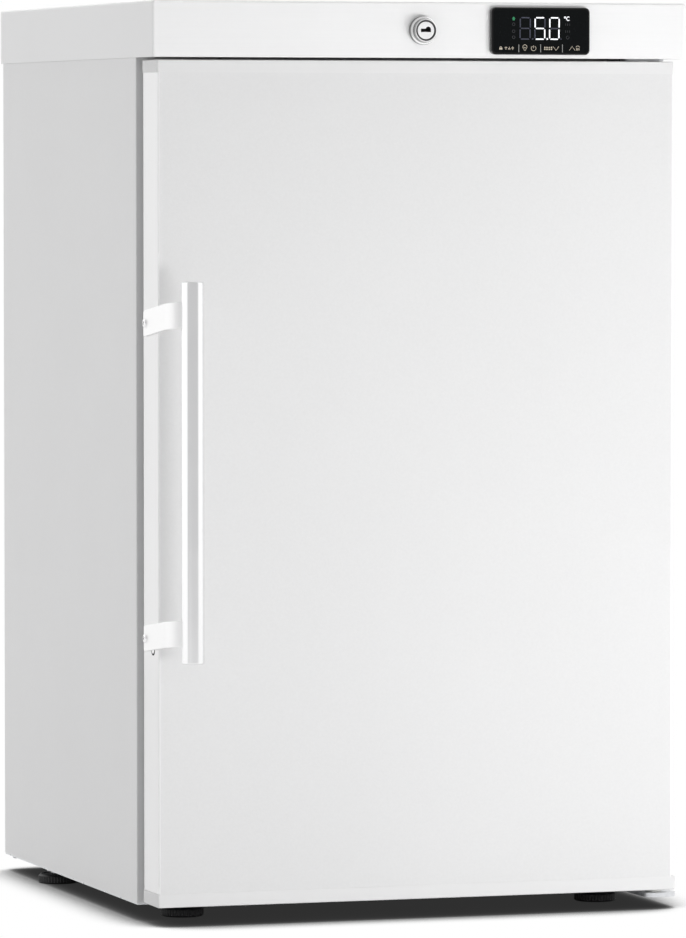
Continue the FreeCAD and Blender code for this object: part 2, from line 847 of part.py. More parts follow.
def hinge_upper_bracket():
    left = pin_x - upper_plate_left
    right = pin_x + upper_plate_right
    plate = box(left, right, pin_y - 8, cabinet_front_y, upper_plate_under_z, upper_plate_top_z)
    plate = round_edges(plate, 6.0, lambda edge: runs_along(edge, Z) and edge_point(edge).y < pin_y)
    tab = box(left, right, cabinet_front_y - upper_plate, cabinet_front_y, upper_plate_under_z,
              cover_bottom_z + upper_tab_height)
    pin = cylinder(pin_radius, V(pin_x, pin_y, upper_plate_top_z), V(pin_x, pin_y, door_top_z - pin_length))
    pin = pin.makeChamfer(0.8, [edge for edge in pin.Edges if edge_point(edge).z < door_top_z - 1
                                and not runs_along(edge, Z)])
    return fuse(plate, tab, pin).cut(screw_holes(upper_bracket_screws()))


def hinge_bush(face_z, plate_z, inward):
    """A flanged bush in a door cap: its flange runs against the bracket's plate."""
    flange = cylinder(bush_flange_radius, V(pin_x, pin_y, plate_z), V(pin_x, pin_y, face_z))
    sleeve = cylinder(bush_radius, V(pin_x, pin_y, face_z),
                      V(pin_x, pin_y, face_z + inward * (pin_length + bush_end)))
    bore = cylinder(pin_radius + running_gap, V(pin_x, pin_y, face_z - inward * 20),
                    V(pin_x, pin_y, face_z + inward * (pin_length + pin_end_gap)))
    return fuse(flange, sleeve).cut(bore)


def hinge_bushes():
    lower = hinge_bush(door_bottom_z, base_under_z + fit_gap, 1)
    upper = hinge_bush(door_top_z, upper_plate_under_z - fit_gap, -1)
    return Part.makeCompound([lower, upper])


# Door

def cap(z_open, z_closed, left_x, right_x):
    """A moulded cap that closes one end of the door skin: a shallow tray with a lip inside the skin."""
    low, high = sorted((z_open, z_closed))
    inward = 1 if z_open > z_closed else -1
    outer = box(left_x, right_x, fascia_y - cap_proud, door_rear_y, low, high)
    outer = round_along(outer, cap_corner, Z)
    outer = round_edges(outer, cap_edge, lambda edge: abs(edge_point(edge).z - z_closed) < 0.01)
    skin = door_sheet + fit_gap
    lip_z = z_open + inward * cap_lip
    lip = box(door_left_x + skin, door_right_x - skin, fascia_y + skin, door_rear_y - skin,
              min(low, lip_z), max(high, lip_z))
    lip = round_along(lip, door_corner - fit_gap, Z)
    wall = skin + cap_wall
    floor_z = z_closed + inward * (cap_wall + 0.5)
    hollow = box(door_left_x + wall, door_right_x - wall, fascia_y + wall, door_rear_y - wall,
                 min(floor_z, lip_z + inward), max(floor_z, lip_z + inward))
    boss = cylinder(bush_radius + bush_wall, V(pin_x, pin_y, z_closed + inward * 1),
                    V(pin_x, pin_y, z_closed + inward * (pin_length + 2 * bush_end)))
    bore = cylinder(bush_radius + running_gap, V(pin_x, pin_y, z_closed - inward * 9),
                    V(pin_x, pin_y, z_closed + inward * (pin_length + bush_end)))
    return fuse(fuse(outer, lip).cut(hollow), boss).cut(bore)


def door_bottom_cap():
    return cap(skin_bottom_z, door_bottom_z, door_left_x - cap_overhang, door_right_x + bottom_cap_overhang)


def door_top_cap():
    body = cap(skin_top_z, door_top_z, door_left_x - cap_overhang, door_right_x)
    pocket_floor = door_top_z - strike_depth
    wall = strike_sheet + running_gap
    well = lock_slot(wall + 1.5, pocket_floor - strike_sheet - 1.5, door_top_z - 1)
    opening = lock_slot(wall, pocket_floor - strike_sheet, door_top_z + 1)
    return fuse(body, well).cut(opening)


def lock_strike():
    """A pressed steel cup in the top cap that takes the cam's tip."""
    floor = door_top_z - strike_depth
    cup = lock_slot(strike_sheet, floor - strike_sheet, door_top_z)
    return cup.cut(lock_slot(0, floor, door_top_z + 1))


def door_skin():
    outer = box(door_left_x, door_right_x, fascia_y, door_rear_y, skin_bottom_z, skin_top_z)
    outer = round_edges(outer, door_corner,
                        lambda edge: runs_along(edge, Z) and edge_point(edge).y < fascia_y + 1)
    hollow = box(door_left_x + door_sheet, door_right_x - door_sheet, fascia_y + door_sheet,
                 door_rear_y - door_sheet, skin_bottom_z - 1, skin_top_z + 1)
    hollow = round_edges(hollow, door_corner - door_sheet,
                         lambda edge: runs_along(edge, Z) and edge_point(edge).y < fascia_y + 2)
    back = box(door_left_x + door_flange, door_right_x - door_flange, door_rear_y - 2, door_rear_y + 1,
               skin_bottom_z - 1, skin_top_z + 1)
    hole = cylinder(edge_hole_radius, V(door_left_x - 1, fascia_y + edge_hole_setback, edge_hole_height),
                    V(door_left_x + 3, fascia_y + edge_hole_setback, edge_hole_height))
    return outer.cut([hollow, back, hole]).cut(screw_holes(handle_screw_places()))


def dike(shrink, depth_cut):
    """The raised middle of the door's liner, which reaches into the cavity."""
    gap = dike_gap + shrink
    return plate_loft(dike_taper, door_rear_y, gasket_front_y + dike_depth - depth_cut,
                      -cavity_half + gap, cavity_half - gap, cavity_floor_z + gap, cavity_top_z - gap)


def door_liner():
    flange = box(door_left_x + 2, door_right_x - 2, door_rear_y, gasket_front_y, door_bottom_z + 2,
                 door_top_z - 2)
    crown = dike(0, 0)
    crown = round_edges(crown, 3.0, lambda edge: edge_point(edge).y > door_rear_y + dike_depth
                        or not (runs_along(edge, X) or runs_along(edge, Z)))
    return fuse(flange, crown).cut(dike(liner_wall, liner_wall))


def door_gasket():
    """The magnetic seal: a base in the liner, a waisted bellows and a flat head."""
    waist = 4.5
    outline = [
        (0, gasket_front_y), (gasket_width, gasket_front_y), (gasket_width, gasket_front_y + gasket_base),
        (gasket_width - waist, gasket_front_y + gasket_base + 1.0),
        (gasket_width - waist, gasket_rear_y - gasket_head - 0.6),
        (gasket_width - 1, gasket_rear_y - gasket_head),
        (gasket_width - 1, gasket_rear_y), (1, gasket_rear_y), (1, gasket_rear_y - gasket_head),
        (waist, gasket_rear_y - gasket_head - 0.6), (waist, gasket_front_y + gasket_base + 1.0),
        (0, gasket_front_y + gasket_base),
    ]
    return mitred_ring(outline, gasket_left_x, gasket_right_x, gasket_bottom_z, gasket_top_z)


def door_foam(neighbours):
    block = box(door_left_x + door_sheet, door_right_x - door_sheet, fascia_y + door_sheet, door_rear_y,
                door_bottom_z + cap_wall, door_top_z - cap_wall)
    block = fuse(block, dike(liner_wall, liner_wall))
    strike = lock_slot(strike_sheet, door_top_z - strike_depth - strike_sheet, door_top_z + 1)
    sleeve_reach = pin_length + bush_end + foam_sleeve_gap
    sleeve_radius = bush_radius + foam_sleeve_gap
    sleeves = [cylinder(sleeve_radius, V(pin_x, pin_y, 0), V(pin_x, pin_y, door_bottom_z + sleeve_reach)),
               cylinder(sleeve_radius, V(pin_x, pin_y, height), V(pin_x, pin_y, door_top_z - sleeve_reach))]
    cut = block.cut(neighbours + [strike] + sleeves).cut(screw_holes(handle_screw_places()))
    return max(cut.Solids, key=lambda solid: solid.Volume)


# Handle

def strap_height_at(y):
    """How far the strap has risen from its rear end at this depth."""
    rear = fascia_y + strap_rear_setback
    return strap_rise * (rear - y) / (rear - bar_y)


def handle_bar():
    bar = cylinder(bar_radius, V(bar_x, bar_y, bar_bottom), V(bar_x, bar_y, bar_bottom + bar_length))
    return bar.makeChamfer(bar_chamfer, [edge for edge in bar.Edges if not runs_along(edge, Z)])


def handle_strap(low_z):
    """One strap: flat along the door's edge, then round in a quarter turn to the bar, rising as it goes."""
    rear = fascia_y + strap_rear_setback
    outer_x = door_left_x - strap_sheet
    turn = bar_x - outer_x
    straight = bar_y + turn
    tip = V(bar_x, bar_y, 0)
    inner = turn - strap_sheet
    slant = math.sqrt(0.5)
    centre = V(bar_x, straight, 0)
    edges = [
        Part.makeLine(V(outer_x, rear, 0), V(outer_x, straight, 0)),
        Part.Arc(V(outer_x, straight, 0), centre + V(-turn * slant, -turn * slant, 0), tip).toShape(),
        Part.makeLine(tip, tip + V(0, strap_sheet, 0)),
        Part.Arc(tip + V(0, strap_sheet, 0), centre + V(-inner * slant, -inner * slant, 0),
                 V(outer_x + strap_sheet, straight, 0)).toShape(),
        Part.makeLine(V(outer_x + strap_sheet, straight, 0), V(outer_x + strap_sheet, rear, 0)),
        Part.makeLine(V(outer_x + strap_sheet, rear, 0), V(outer_x, rear, 0)),
    ]
    ribbon = Part.Face(Part.Wire(edges)).extrude(Z * height)
    half = strap_height / 2
    front = bar_y - 5
    top_rear = V(-width, rear, low_z + half)
    corners = [V(-width, rear, low_z - half), V(-width, front, low_z - half + strap_height_at(front)),
               V(-width, front, low_z + half + strap_height_at(front)), top_rear]
    band = Part.Face(Part.makePolygon(corners + corners[:1])).extrude(X * width)
    band = round_edges(band, strap_corner, lambda edge: runs_along(edge, X) and edge_point(edge).y > rear - 1)
    bar = cylinder(bar_radius, V(bar_x, bar_y, 0), V(bar_x, bar_y, height))
    return ribbon.common(band).cut(bar)


def strap_low_ends():
    return [strap_low_end, strap_low_end + strap_spacing]


def handle_straps():
    holes = screw_holes(handle_screw_places())
    return Part.makeCompound([handle_strap(z).cut(holes) for z in strap_low_ends()])


def handle_screw_places():
    y = fascia_y + strap_screw_setback
    return [(V(door_left_x - strap_sheet, y, z + strap_height_at(y)), V(-1, 0, 0)) for z in strap_low_ends()]


# Shelves

def shelf(level):
    """A wire shelf: a bent rim, two cross rods and straight wires laid over them."""
    half = cavity_half - shelf_side_gap - shelf_rod
    z = level + fit_gap + shelf_rod * math.cos(math.pi / 8)
    front = gasket_front_y + dike_depth + shelf_front_gap + shelf_travel + shelf_rod
    rear = evaporator_front_y - shelf_rear_gap
    middle = (front + rear) / 2
    points = [V(0, front, z), V(half, front, z), V(half, rear, z), V(-half, rear, z), V(-half, front, z),
              V(0, front, z)]
    rim = bent_rod(points, shelf_rod, shelf_corner, 8)
    reach = half - shelf_rod
    parts = [rim]
    for y in (middle - (rear - front) / 6, middle + (rear - front) / 6):
        parts.append(rod(V(-reach, y, z - 0.5), V(reach, y, z - 0.5), shelf_rod * 0.8, 6))
    spacing = 2 * (half - shelf_corner) / (shelf_wires - 1)
    over = z + shelf_rod * 0.9 + shelf_wire
    for k in range(shelf_wires):
        x = -half + shelf_corner + spacing * k
        parts.append(rod(V(x, front - 1, over), V(x, rear + 1, over), shelf_wire, 6))
    return Part.makeCompound(parts)


# Evaporator and fan

def fan_centre(y):
    return V(0, y, fan_z)


def evaporator_cover():
    half = evaporator_width / 2
    rear = cavity_rear_y
    outer = box(-half, half, evaporator_front_y, rear, evaporator_bottom_z, evaporator_top_z)
    outer = round_along(outer, evaporator_corner, Y)
    outer = outer.makeChamfer(3.0, [edge for edge in outer.Edges
                                    if abs(edge_point(edge).y - evaporator_front_y) < 0.01])
    wall = evaporator_wall
    inner = box(-half + wall, half - wall, evaporator_front_y + wall, rear + 1, evaporator_bottom_z + wall,
                evaporator_top_z - wall)
    inner = round_along(inner, evaporator_corner - wall, Y)
    mouth = cylinder(fan_radius, fan_centre(evaporator_front_y - 1), fan_centre(evaporator_front_y + 9))
    slots = []
    for k in range(grille_slots):
        x = (k - (grille_slots - 1) / 2) * evaporator_width / (grille_slots + 1)
        low = evaporator_bottom_z + slot_lift
        slots.append(box(x - slot_width / 2, x + slot_width / 2, evaporator_front_y - 1,
                         evaporator_front_y + 9, low, low + slot_height))
    return outer.cut([inner, mouth] + slots)


def fan_guard():
    """Flat rings on spokes, pressed over the fan's mouth in the evaporator cover."""
    front = evaporator_front_y - guard_sheet
    rim = fan_radius + guard_lap
    step = (rim - guard_hub) / guard_rings
    parts = []
    for k in range(guard_rings + 1):
        outer = rim - k * step
        ring = rod(fan_centre(front), fan_centre(front + guard_sheet), outer, guard_sides)
        if k < guard_rings:
            inner = outer - guard_line
            ring = ring.cut(rod(fan_centre(front - 1), fan_centre(front + 9), inner, guard_sides))
        parts.append(ring)
    for k in range(guard_spokes):
        angle = 2 * math.pi * (k + 0.5) / guard_spokes
        spoke = box(guard_hub / 2, rim - 1, front, front + guard_sheet, fan_z - guard_line / 2,
                    fan_z + guard_line / 2)
        parts.append(spoke.rotate(fan_centre(0), Y, math.degrees(angle)))
    return fuse(*parts)


def fan_blade():
    """One twisted blade from hub to tip, in flat triangles between its three sections."""
    tip = fan_radius - fan_tip_gap
    middle = fan_front_y + fan_depth / 2
    rings = []
    for share in (0.0, 0.5, 1.0):
        radius = fan_hub_radius - 2 + share * (tip - fan_hub_radius + 2)
        lean = math.radians(blade_root_lean + share * (blade_tip_lean - blade_root_lean))
        half_chord = blade_root_chord / 2 + share * (blade_tip_chord - blade_root_chord) / 2
        across = half_chord * math.cos(lean)
        along = half_chord * math.sin(lean)
        rings.append([V(-across, middle - along, fan_z + radius), V(across, middle + along, fan_z + radius),
                      V(across, middle + along + blade_sheet, fan_z + radius),
                      V(-across, middle - along + blade_sheet, fan_z + radius)])
    faces = [Part.Face(Part.makePolygon(ring + ring[:1])) for ring in (rings[0], rings[-1])]
    for near, far in zip(rings, rings[1:]):
        for i in range(4):
            j = (i + 1) % 4
            for corners in ([near[i], near[j], far[j]], [near[i], far[j], far[i]]):
                faces.append(Part.Face(Part.makePolygon(corners + corners[:1])))
    shell = Part.makeShell(faces)
    shell.sewShape()
    solid = Part.Solid(shell)
    if solid.Volume < 0:
        solid.reverse()
    return solid


def fan_rotor():
    rear = fan_front_y + fan_depth
    hub = turned([(0, 0), (0, fan_hub_radius - 4), (2.5, fan_hub_radius - 1), (5, fan_hub_radius),
                  (fan_depth, fan_hub_radius), (fan_depth, 0)], fan_centre(fan_front_y), Y)
    blades = [fan_blade().rotate(fan_centre(0), Y, 360 * k / fan_blades) for k in range(fan_blades)]
    bore = cylinder(motor_shaft_radius + running_gap, fan_centre(rear - 9), fan_centre(rear + 1))
    return fuse(hub, *blades).cut(bore)


def fan_motor():
    front = fan_front_y + fan_depth + 1.0
    body = turned([(0, 0), (0, motor_radius - 3), (2, motor_radius), (motor_length, motor_radius),
                   (motor_length, 0)], fan_centre(front), Y)
    shaft = cylinder(motor_shaft_radius, fan_centre(front - 8), fan_centre(front + 2))
    rear = front + motor_length
    arms = []
    for side in (-1, 1):
        low, high = sorted((0, side * (fan_radius + 12)))
        arms.append(box(low, high, rear - 2, rear, fan_z - 6, fan_z + 6))
        low, high = sorted((side * (fan_radius + 4), side * (fan_radius + 12)))
        arms.append(box(low, high, evaporator_front_y + evaporator_wall, rear, fan_z - 6, fan_z + 6))
    return fuse(body, shaft, *arms)


def coil_points():
    """The evaporator tube's corners, from its inlet at the rear to its outlet."""
    y = cavity_rear_y - 20
    top = fan_z - fan_radius - 14
    half = coil_width / 2
    points = []
    for k in range(coil_passes):
        z = top - k * coil_pitch
        side = 1 if k % 2 else -1
        points += [V(side * half, y, z), V(-side * half, y, z)]
    return points


def evaporator_coil():
    return bent_rod(coil_points(), coil_radius, coil_pitch * 0.48, line_sides)


def evaporator_fins():
    points = coil_points()
    top = points[0].z + coil_pitch / 2 - 1
    low = points[-1].z - coil_pitch / 2 + 1
    reach = coil_width / 2 - coil_pitch
    y = points[0].y
    plates = []
    tubes = [rod(V(-coil_width, y, point.z), V(coil_width, y, point.z), coil_radius + running_gap, line_sides)
             for point in points[::2]]
    for k in range(fin_count):
        x = -reach + 2 * reach * k / (fin_count - 1)
        plates.append(box(x, x + fin_sheet, y - 14, y + 14, low, top))
    return Part.makeCompound(plates).cut(tubes)


def drip_tray():
    """The tray under the coil: a shallow trough that falls towards its drain spout."""
    half = evaporator_width / 2 - evaporator_wall - 1
    floor = evaporator_bottom_z + evaporator_wall
    low = cavity_rear_y - tray_depth
    wall = cover_sheet
    outer = box(-half, half, low, cavity_rear_y, floor, floor + tray_height)
    inner = box(-half + wall, half - wall, low + wall, cavity_rear_y - wall, floor + wall,
                floor + tray_height + 1)
    outer = round_edges(outer, evaporator_corner - evaporator_wall,
                        lambda edge: runs_along(edge, Y) and edge_point(edge).z < floor + 1)
    return outer.cut([inner, drain_path(drain_radius + running_gap)])


def drain_path(radius):
    """The drain's whole run: down through the foam behind the cavity and out into the bay."""
    start = V(drain_x, cavity_rear_y - 10, evaporator_bottom_z + evaporator_wall + 7.5)
    points = [start, V(drain_x, drain_y, start.z), V(drain_x, drain_y, pot_top_z + pan_height - 4)]
    return bent_rod(points, radius, 11.0, line_sides)


def drain_tube():
    tube = drain_path(drain_radius)
    return tube.cut(drain_path(drain_radius - 1.2))


# Compressor and refrigerant circuit

def pot_bolt_places():
    return [(pot_x + side * (pot_width / 2 - 4), pot_y + end * (pot_depth / 2 - 6))
            for side in (-1, 1) for end in (-1, 1)]


def compressor_shell():
    """The welded pot: a drawn can with a domed lid, its seam flange and its foot plate."""
    round_radius = pot_depth / 2 - 5
    reach = pot_width / 2 - 13 - round_radius
    seam_z = pot_height / 2
    profile = [(0, 0), (0, round_radius - 12), (9, round_radius - 2), (seam_z - 2, round_radius),
               (seam_z - 2, round_radius + 3), (seam_z + 2, round_radius + 3), (seam_z + 2, round_radius),
               (pot_height - 28, round_radius - 1), (pot_height - 13, round_radius - 8),
               (pot_height - 4, round_radius - 20), (pot_height, round_radius - 34), (pot_height, 0)]
    ends = [V(pot_x + side * reach, pot_y, pot_bottom_z) for side in (-1, 1)]
    half_section = [ends[0] + V(0, radius, along) for along, radius in profile]
    other_half = [ends[0] + V(0, -radius, along) for along, radius in reversed(profile[1:-1])]
    section = half_section + other_half
    middle = Part.Face(Part.makePolygon(section + section[:1])).extrude(ends[1] - ends[0])
    plate_z = pot_bottom_z
    plate = box(pot_x - pot_width / 2 - pot_foot, pot_x + pot_width / 2 + pot_foot, pot_y - pot_depth / 2 - 4,
                pot_y + pot_depth / 2 + 4, plate_z, plate_z + pot_plate)
    plate = round_along(plate, 10.0, Z)
    bolts = [rod(V(x, y, plate_z - 1), V(x, y, plate_z + 9), pot_bolt_radius + 1.6, bolt_sides)
             for x, y in pot_bolt_places()]
    return fuse(middle, turned(profile, ends[0], Z), turned(profile, ends[1], Z), plate.cut(bolts))


def compressor_grommets():
    """Rubber feet with a waist; each is pushed up through its hole in the pot's plate."""
    grommets = []
    waist = pot_bottom_z - leg_height
    levels = [(0, 3, grommet_radius), (3, waist - 2, grommet_radius - 2), (waist - 2, waist, grommet_radius),
              (waist, waist + pot_plate, pot_bolt_radius + 1.2)]
    for x, y in pot_bolt_places():
        seat = V(x, y, leg_height)
        discs = [rod(seat + Z * low, seat + Z * high, radius, bolt_sides) for low, high, radius in levels]
        bore = rod(seat - Z, seat + Z * 30, pot_bolt_radius + running_gap, bolt_sides)
        grommets.append(fuse(*discs).cut(bore))
    return Part.makeCompound(grommets)


def compressor_bolts():
    bolts = []
    for x, y in pot_bolt_places():
        top = pot_bottom_z + pot_plate
        shank = rod(V(x, y, base_under_z), V(x, y, top + 6), pot_bolt_radius, bolt_sides)
        washer = rod(V(x, y, top + 0.01), V(x, y, top + 1.5), 8.0, bolt_sides)
        nut = rod(V(x, y, top + 1.5), V(x, y, top + 5.5), 5.6, 6)
        bolts.append(fuse(shank, washer, nut))
    return Part.makeCompound(bolts)


def starter_box():
    right = pot_x - (pot_width - 26) / 2 + 1.5
    half = starter_width / 2
    low = pot_bottom_z + starter_lift
    high = low + starter_height
    shell = box(right - starter_depth, right, pot_y - half, pot_y + half, low, high)
    shell = round_along(shell, 5.0, X)
    strap = box(right - starter_depth - 2, right + 0.5, pot_y - 5, pot_y + 5, low + 6, high - 6)
    body = fuse(shell, strap)
    return body.cut(compressor_shell())


def suction_points():
    """Up from the compressor through the foam behind the cavity, then in along X to the coil's end."""
    outlet = coil_points()[-1]
    out = math.copysign(1, outlet.x)
    x = outlet.x + out * line_offset
    lane_y = panel_rear_y - rear_wall / 2 + 5
    level = pot_top_z - 48
    return [V(pot_x + out * (pot_width / 2 - 13), pot_y, level), V(x, pot_y, level), V(x, lane_y, level),
            V(x, lane_y, outlet.z), V(x, outlet.y, outlet.z), outlet]


def line_channels():
    """The space that the suction line takes in sheets, foam and liner."""
    points = suction_points()
    below = V(points[2].x, points[2].y, bay_top_z - 20)
    inside = points[4] - Y * line_bend
    return [bent_rod([below, points[3], inside], line_radius + running_gap, line_bend, line_sides)]


def discharge_points():
    """Out of the compressor's side and up behind the back panel to the condenser's first pass."""
    first = condenser_points()[0]
    riser_x = first.x + line_offset
    level = pot_bottom_z + 30
    lane_y = pot_y - 16
    return [V(pot_x + pot_width / 2 - 13, lane_y, level), V(riser_x, lane_y, level),
            V(riser_x, condenser_y, level), V(riser_x, condenser_y, first.z), first]


def refrigerant_lines():
    lines = [bent_rod(suction_points(), line_radius, line_bend, line_sides),
             bent_rod(discharge_points(), condenser_radius, line_bend, line_sides)]
    return Part.makeCompound(lines)


def condenser_points():
    points = []
    for k in range(condenser_passes):
        z = condenser_top_z - k * condenser_pitch
        side = 1 if k % 2 == 0 else -1
        points += [V(side * condenser_half, condenser_y, z), V(-side * condenser_half, condenser_y, z)]
    return points


def condenser_tube():
    return bent_rod(condenser_points(), condenser_radius, condenser_pitch * 0.48, condenser_sides)


def condenser_wires():
    """Upright wires on both faces of the bent tube."""
    reach = condenser_half - condenser_pitch / 2 - 6
    offset = condenser_radius + wire_radius + running_gap
    wires = []
    for k in range(wire_count):
        x = -reach + 2 * reach * k / (wire_count - 1)
        for side in (-1, 1):
            y = condenser_y + side * offset
            wires.append(rod(V(x, y, condenser_bottom_z - wire_overrun),
                             V(x, y, condenser_top_z + wire_overrun), wire_radius, 6))
    return Part.makeCompound(wires)


def bracket_places():
    x = condenser_half - condenser_pitch / 2 - 1
    low = condenser_bottom_z + condenser_pitch / 2
    high = condenser_top_z - condenser_pitch / 2
    return [V(side * x, cabinet_rear_y, z) for side in (-1, 1) for z in (low, high)]


def condenser_brackets():
    """Four hooked stand-offs between the back panel and the condenser."""
    brackets = []
    for place in bracket_places():
        foot = box(place.x - 8, place.x + 8, place.y, place.y + 2, place.z - 14, place.z + 14)
        post = box(place.x - 4, place.x + 4, place.y, condenser_y + 3, place.z - 3, place.z + 3)
        hook = box(place.x - 4, place.x + 4, condenser_y - 3, condenser_y + 3, place.z - 3,
                   place.z + condenser_pitch / 2 - condenser_radius - running_gap)
        brackets.append(fuse(foot, post, hook))
    return Part.makeCompound(brackets).cut(screw_holes(back_screws()))


def filter_drier():
    """The drier can between the condenser's outlet and the capillary."""
    outlet = condenser_points()[-1]
    top = outlet.z
    x = outlet.x + math.copysign(14, outlet.x)
    low = bay_top_z - drier_drop
    y = condenser_y - 18
    can_top = low + drier_length
    profile = [(0, 0), (0, 2.4), (6, 2.4), (14, drier_radius), (drier_length - 14, drier_radius),
               (drier_length - 6, 3.0), (drier_length, 3.0), (drier_length, 0)]
    can = turned(profile, V(x, y, low), Z)
    feed = bent_rod([outlet, V(x, condenser_y, top), V(x, condenser_y, can_top + 26), V(x, y, can_top + 12),
                     V(x, y, can_top)], condenser_radius, 5.0, line_sides)
    return Part.makeCompound([can, feed])


def evaporating_pan():
    low = pot_top_z + running_gap

    def block(inset, z0, z1):
        shape = box(pot_x - pan_left + inset, pot_x + pan_right - inset, pot_y - pan_front + inset,
                    pot_y + pan_rear - inset, z0, z1)
        return round_along(shape, pan_corner - inset, Z)

    return block(0, low, low + pan_height).cut(block(pan_wall, low + pan_wall, low + pan_height + 1))


# Lamp, probe, gland

def lamp_housing():
    half = lamp_length / 2
    y = cabinet_front_y + lamp_setback
    body = box(-half, half, y, y + lamp_depth, cavity_top_z - lamp_height, cavity_top_z)
    body = round_along(body, 5.0, Z)
    return body.cut(lamp_space(0))


def lamp_space(inset):
    """The window of the lamp, or its lens when drawn in by a gap."""
    half = lamp_length / 2 - 3 - inset
    y = cabinet_front_y + lamp_setback
    low = cavity_top_z - lamp_height
    space = box(-half, half, y + 3 + inset, y + lamp_depth - 3 - inset, low, low + 4)
    return round_along(space, 3.0 - inset, Z)


def lamp_lens():
    return lamp_space(running_gap)


def temperature_probe():
    x = cavity_half - 12
    y = cavity_rear_y - probe_setback
    z = cavity_top_z - probe_drop
    bulb = cylinder(probe_radius, V(x, y, z), V(x, y, z + probe_length))
    bulb = bulb.makeChamfer(1.0, [edge for edge in bulb.Edges if not runs_along(edge, Z)])
    clip = box(x - probe_radius - 2, cavity_half, y - 5, y + 5, z + 14, z + 24)
    clip = clip.cut(cylinder(probe_radius + running_gap, V(x, y, z - 9), V(x, y, z + 99)))
    return Part.makeCompound([bulb, clip])


def cord_gland():
    face = cabinet_rear_y
    centre = V(gland_x, face, gland_height)
    thread = cylinder(gland_thread, centre - Y * (base_sheet + gland_nut), centre + Y)
    body = rod(centre, centre + Y * 5, gland_radius, 6)
    dome = turned([(5, 0), (5, gland_radius - 1.2), (10, gland_radius - 1.6),
                   (15, gland_radius - 3.5), (15, 0)], centre, Y)
    nut = rod(centre - Y * base_sheet, centre - Y * (base_sheet + gland_nut), gland_radius, 6)
    bore = cylinder(gland_bore, centre - Y * 20, centre + Y * 20)
    return fuse(thread, body, dome, nut).cut(bore)


# Screws of the cabinet

def back_screws():
    screws = [(place + V(0, 2, -9), Y) for place in bracket_places()]
    edge = cabinet_half - panel_inset - 7
    low = bay_top_z + 8
    high = cabinet_top_z - cabinet_drop - 10
    for side in (-1, 1):
        for z in (low, (low + high) / 2, high):
            screws.append((V(side * edge, cabinet_rear_y, z), Y))
    return screws


def tray_screws():
    edge = cabinet_half - bottom_flange / 2 - 0.5
    return [(V(side * edge, y, base_under_z), V(0, 0, -1))
            for side in (-1, 1) for y in (bay_front_y + 20, cabinet_rear_y - 20)]


def cabinet_screws():
    seats = back_screws() + tray_screws() + lower_bracket_screws() + upper_bracket_screws()
    return Part.makeCompound([screw(seat, outward) for seat, outward in seats])


def handle_screws():
    return Part.makeCompound([screw(seat, outward) for seat, outward in handle_screw_places()])


def build():
    nodes = {}
    nodes["top_cover"] = top_cover()
    nodes["side_panel_left"] = side_panel(-1)
    nodes["side_panel_right"] = side_panel(1)
    nodes["top_panel"] = top_panel()
    nodes["base_panel"] = base_panel()
    nodes["compressor_bay_panel"] = compressor_bay_panel()
    nodes["back_panel"] = back_panel()
    sheets = [nodes[name] for name in ("side_panel_left", "side_panel_right", "top_panel", "base_panel",
                                       "compressor_bay_panel")]
    nodes["inner_liner"] = inner_liner()
    nodes["cabinet_foam"] = cabinet_foam(sheets, cavity(liner_wall))
    nodes["compressor_tray"] = compressor_tray()
    nodes["compressor_shell"] = compressor_shell()
    nodes["compressor_grommets"] = compressor_grommets()
    nodes["compressor_bolts"] = compressor_bolts()
    nodes["starter_box"] = starter_box()
    nodes["refrigerant_lines"] = refrigerant_lines()
    nodes["filter_drier"] = filter_drier()
    nodes["condenser_tube"] = condenser_tube()
    nodes["condenser_wires"] = condenser_wires()
    nodes["condenser_brackets"] = condenser_brackets()
    nodes["evaporating_pan"] = evaporating_pan()
    nodes["drain_tube"] = drain_tube()
    nodes["evaporator_coil"] = evaporator_coil()
    nodes["evaporator_fins"] = evaporator_fins()
    nodes["evaporator_cover"] = evaporator_cover()
    nodes["drip_tray"] = drip_tray()
    nodes["fan_guard"] = fan_guard()
    nodes["fan_motor"] = fan_motor()
    nodes["fan_rotor"] = fan_rotor()
    nodes["lamp_housing"] = lamp_housing()
    nodes["lamp_lens"] = lamp_lens()
    nodes["temperature_probe"] = temperature_probe()
    nodes["controller_housing"] = controller_housing()
    nodes["controller_window"] = controller_window()
    nodes["controller_clips"] = controller_clips()
    nodes["lock_housing"] = lock_housing()
    nodes["lock_nut"] = lock_nut()
    nodes["lock_plug"] = lock_plug()
    nodes["lock_cam"] = lock_cam()
    nodes["hinge_upper_bracket"] = hinge_upper_bracket()
    nodes["hinge_lower_bracket"] = hinge_lower_bracket()
    nodes["cabinet_screws"] = cabinet_screws()
    nodes["cord_gland"] = cord_gland()
    for name, place in foot_places().items():
        nodes[name] = levelling_foot(place)
    for number, level in enumerate(shelf_heights(), 1):
        nodes["shelf_" + str(number)] = shelf(level)
    nodes["door_skin"] = door_skin()
    nodes["door_top_cap"] = door_top_cap()
    nodes["door_bottom_cap"] = door_bottom_cap()
    nodes["door_liner"] = door_liner()
    door_shells = [nodes[name] for name in ("door_skin", "door_top_cap", "door_bottom_cap", "door_liner")]
    nodes["door_foam"] = door_foam(door_shells)
    nodes["door_gasket"] = door_gasket()
    nodes["hinge_bushes"] = hinge_bushes()
    nodes["lock_strike"] = lock_strike()
    nodes["handle_bar"] = handle_bar()
    nodes["handle_straps"] = handle_straps()
    nodes["handle_screws"] = handle_screws()
    return nodes


def export(nodes):
    os.makedirs("parts", exist_ok=True)
    for name, shape in nodes.items():
        shape.exportStep("parts/" + name + ".step")


export(build())
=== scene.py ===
import math

import bmesh
import bpy
from mathutils import Matrix, Vector

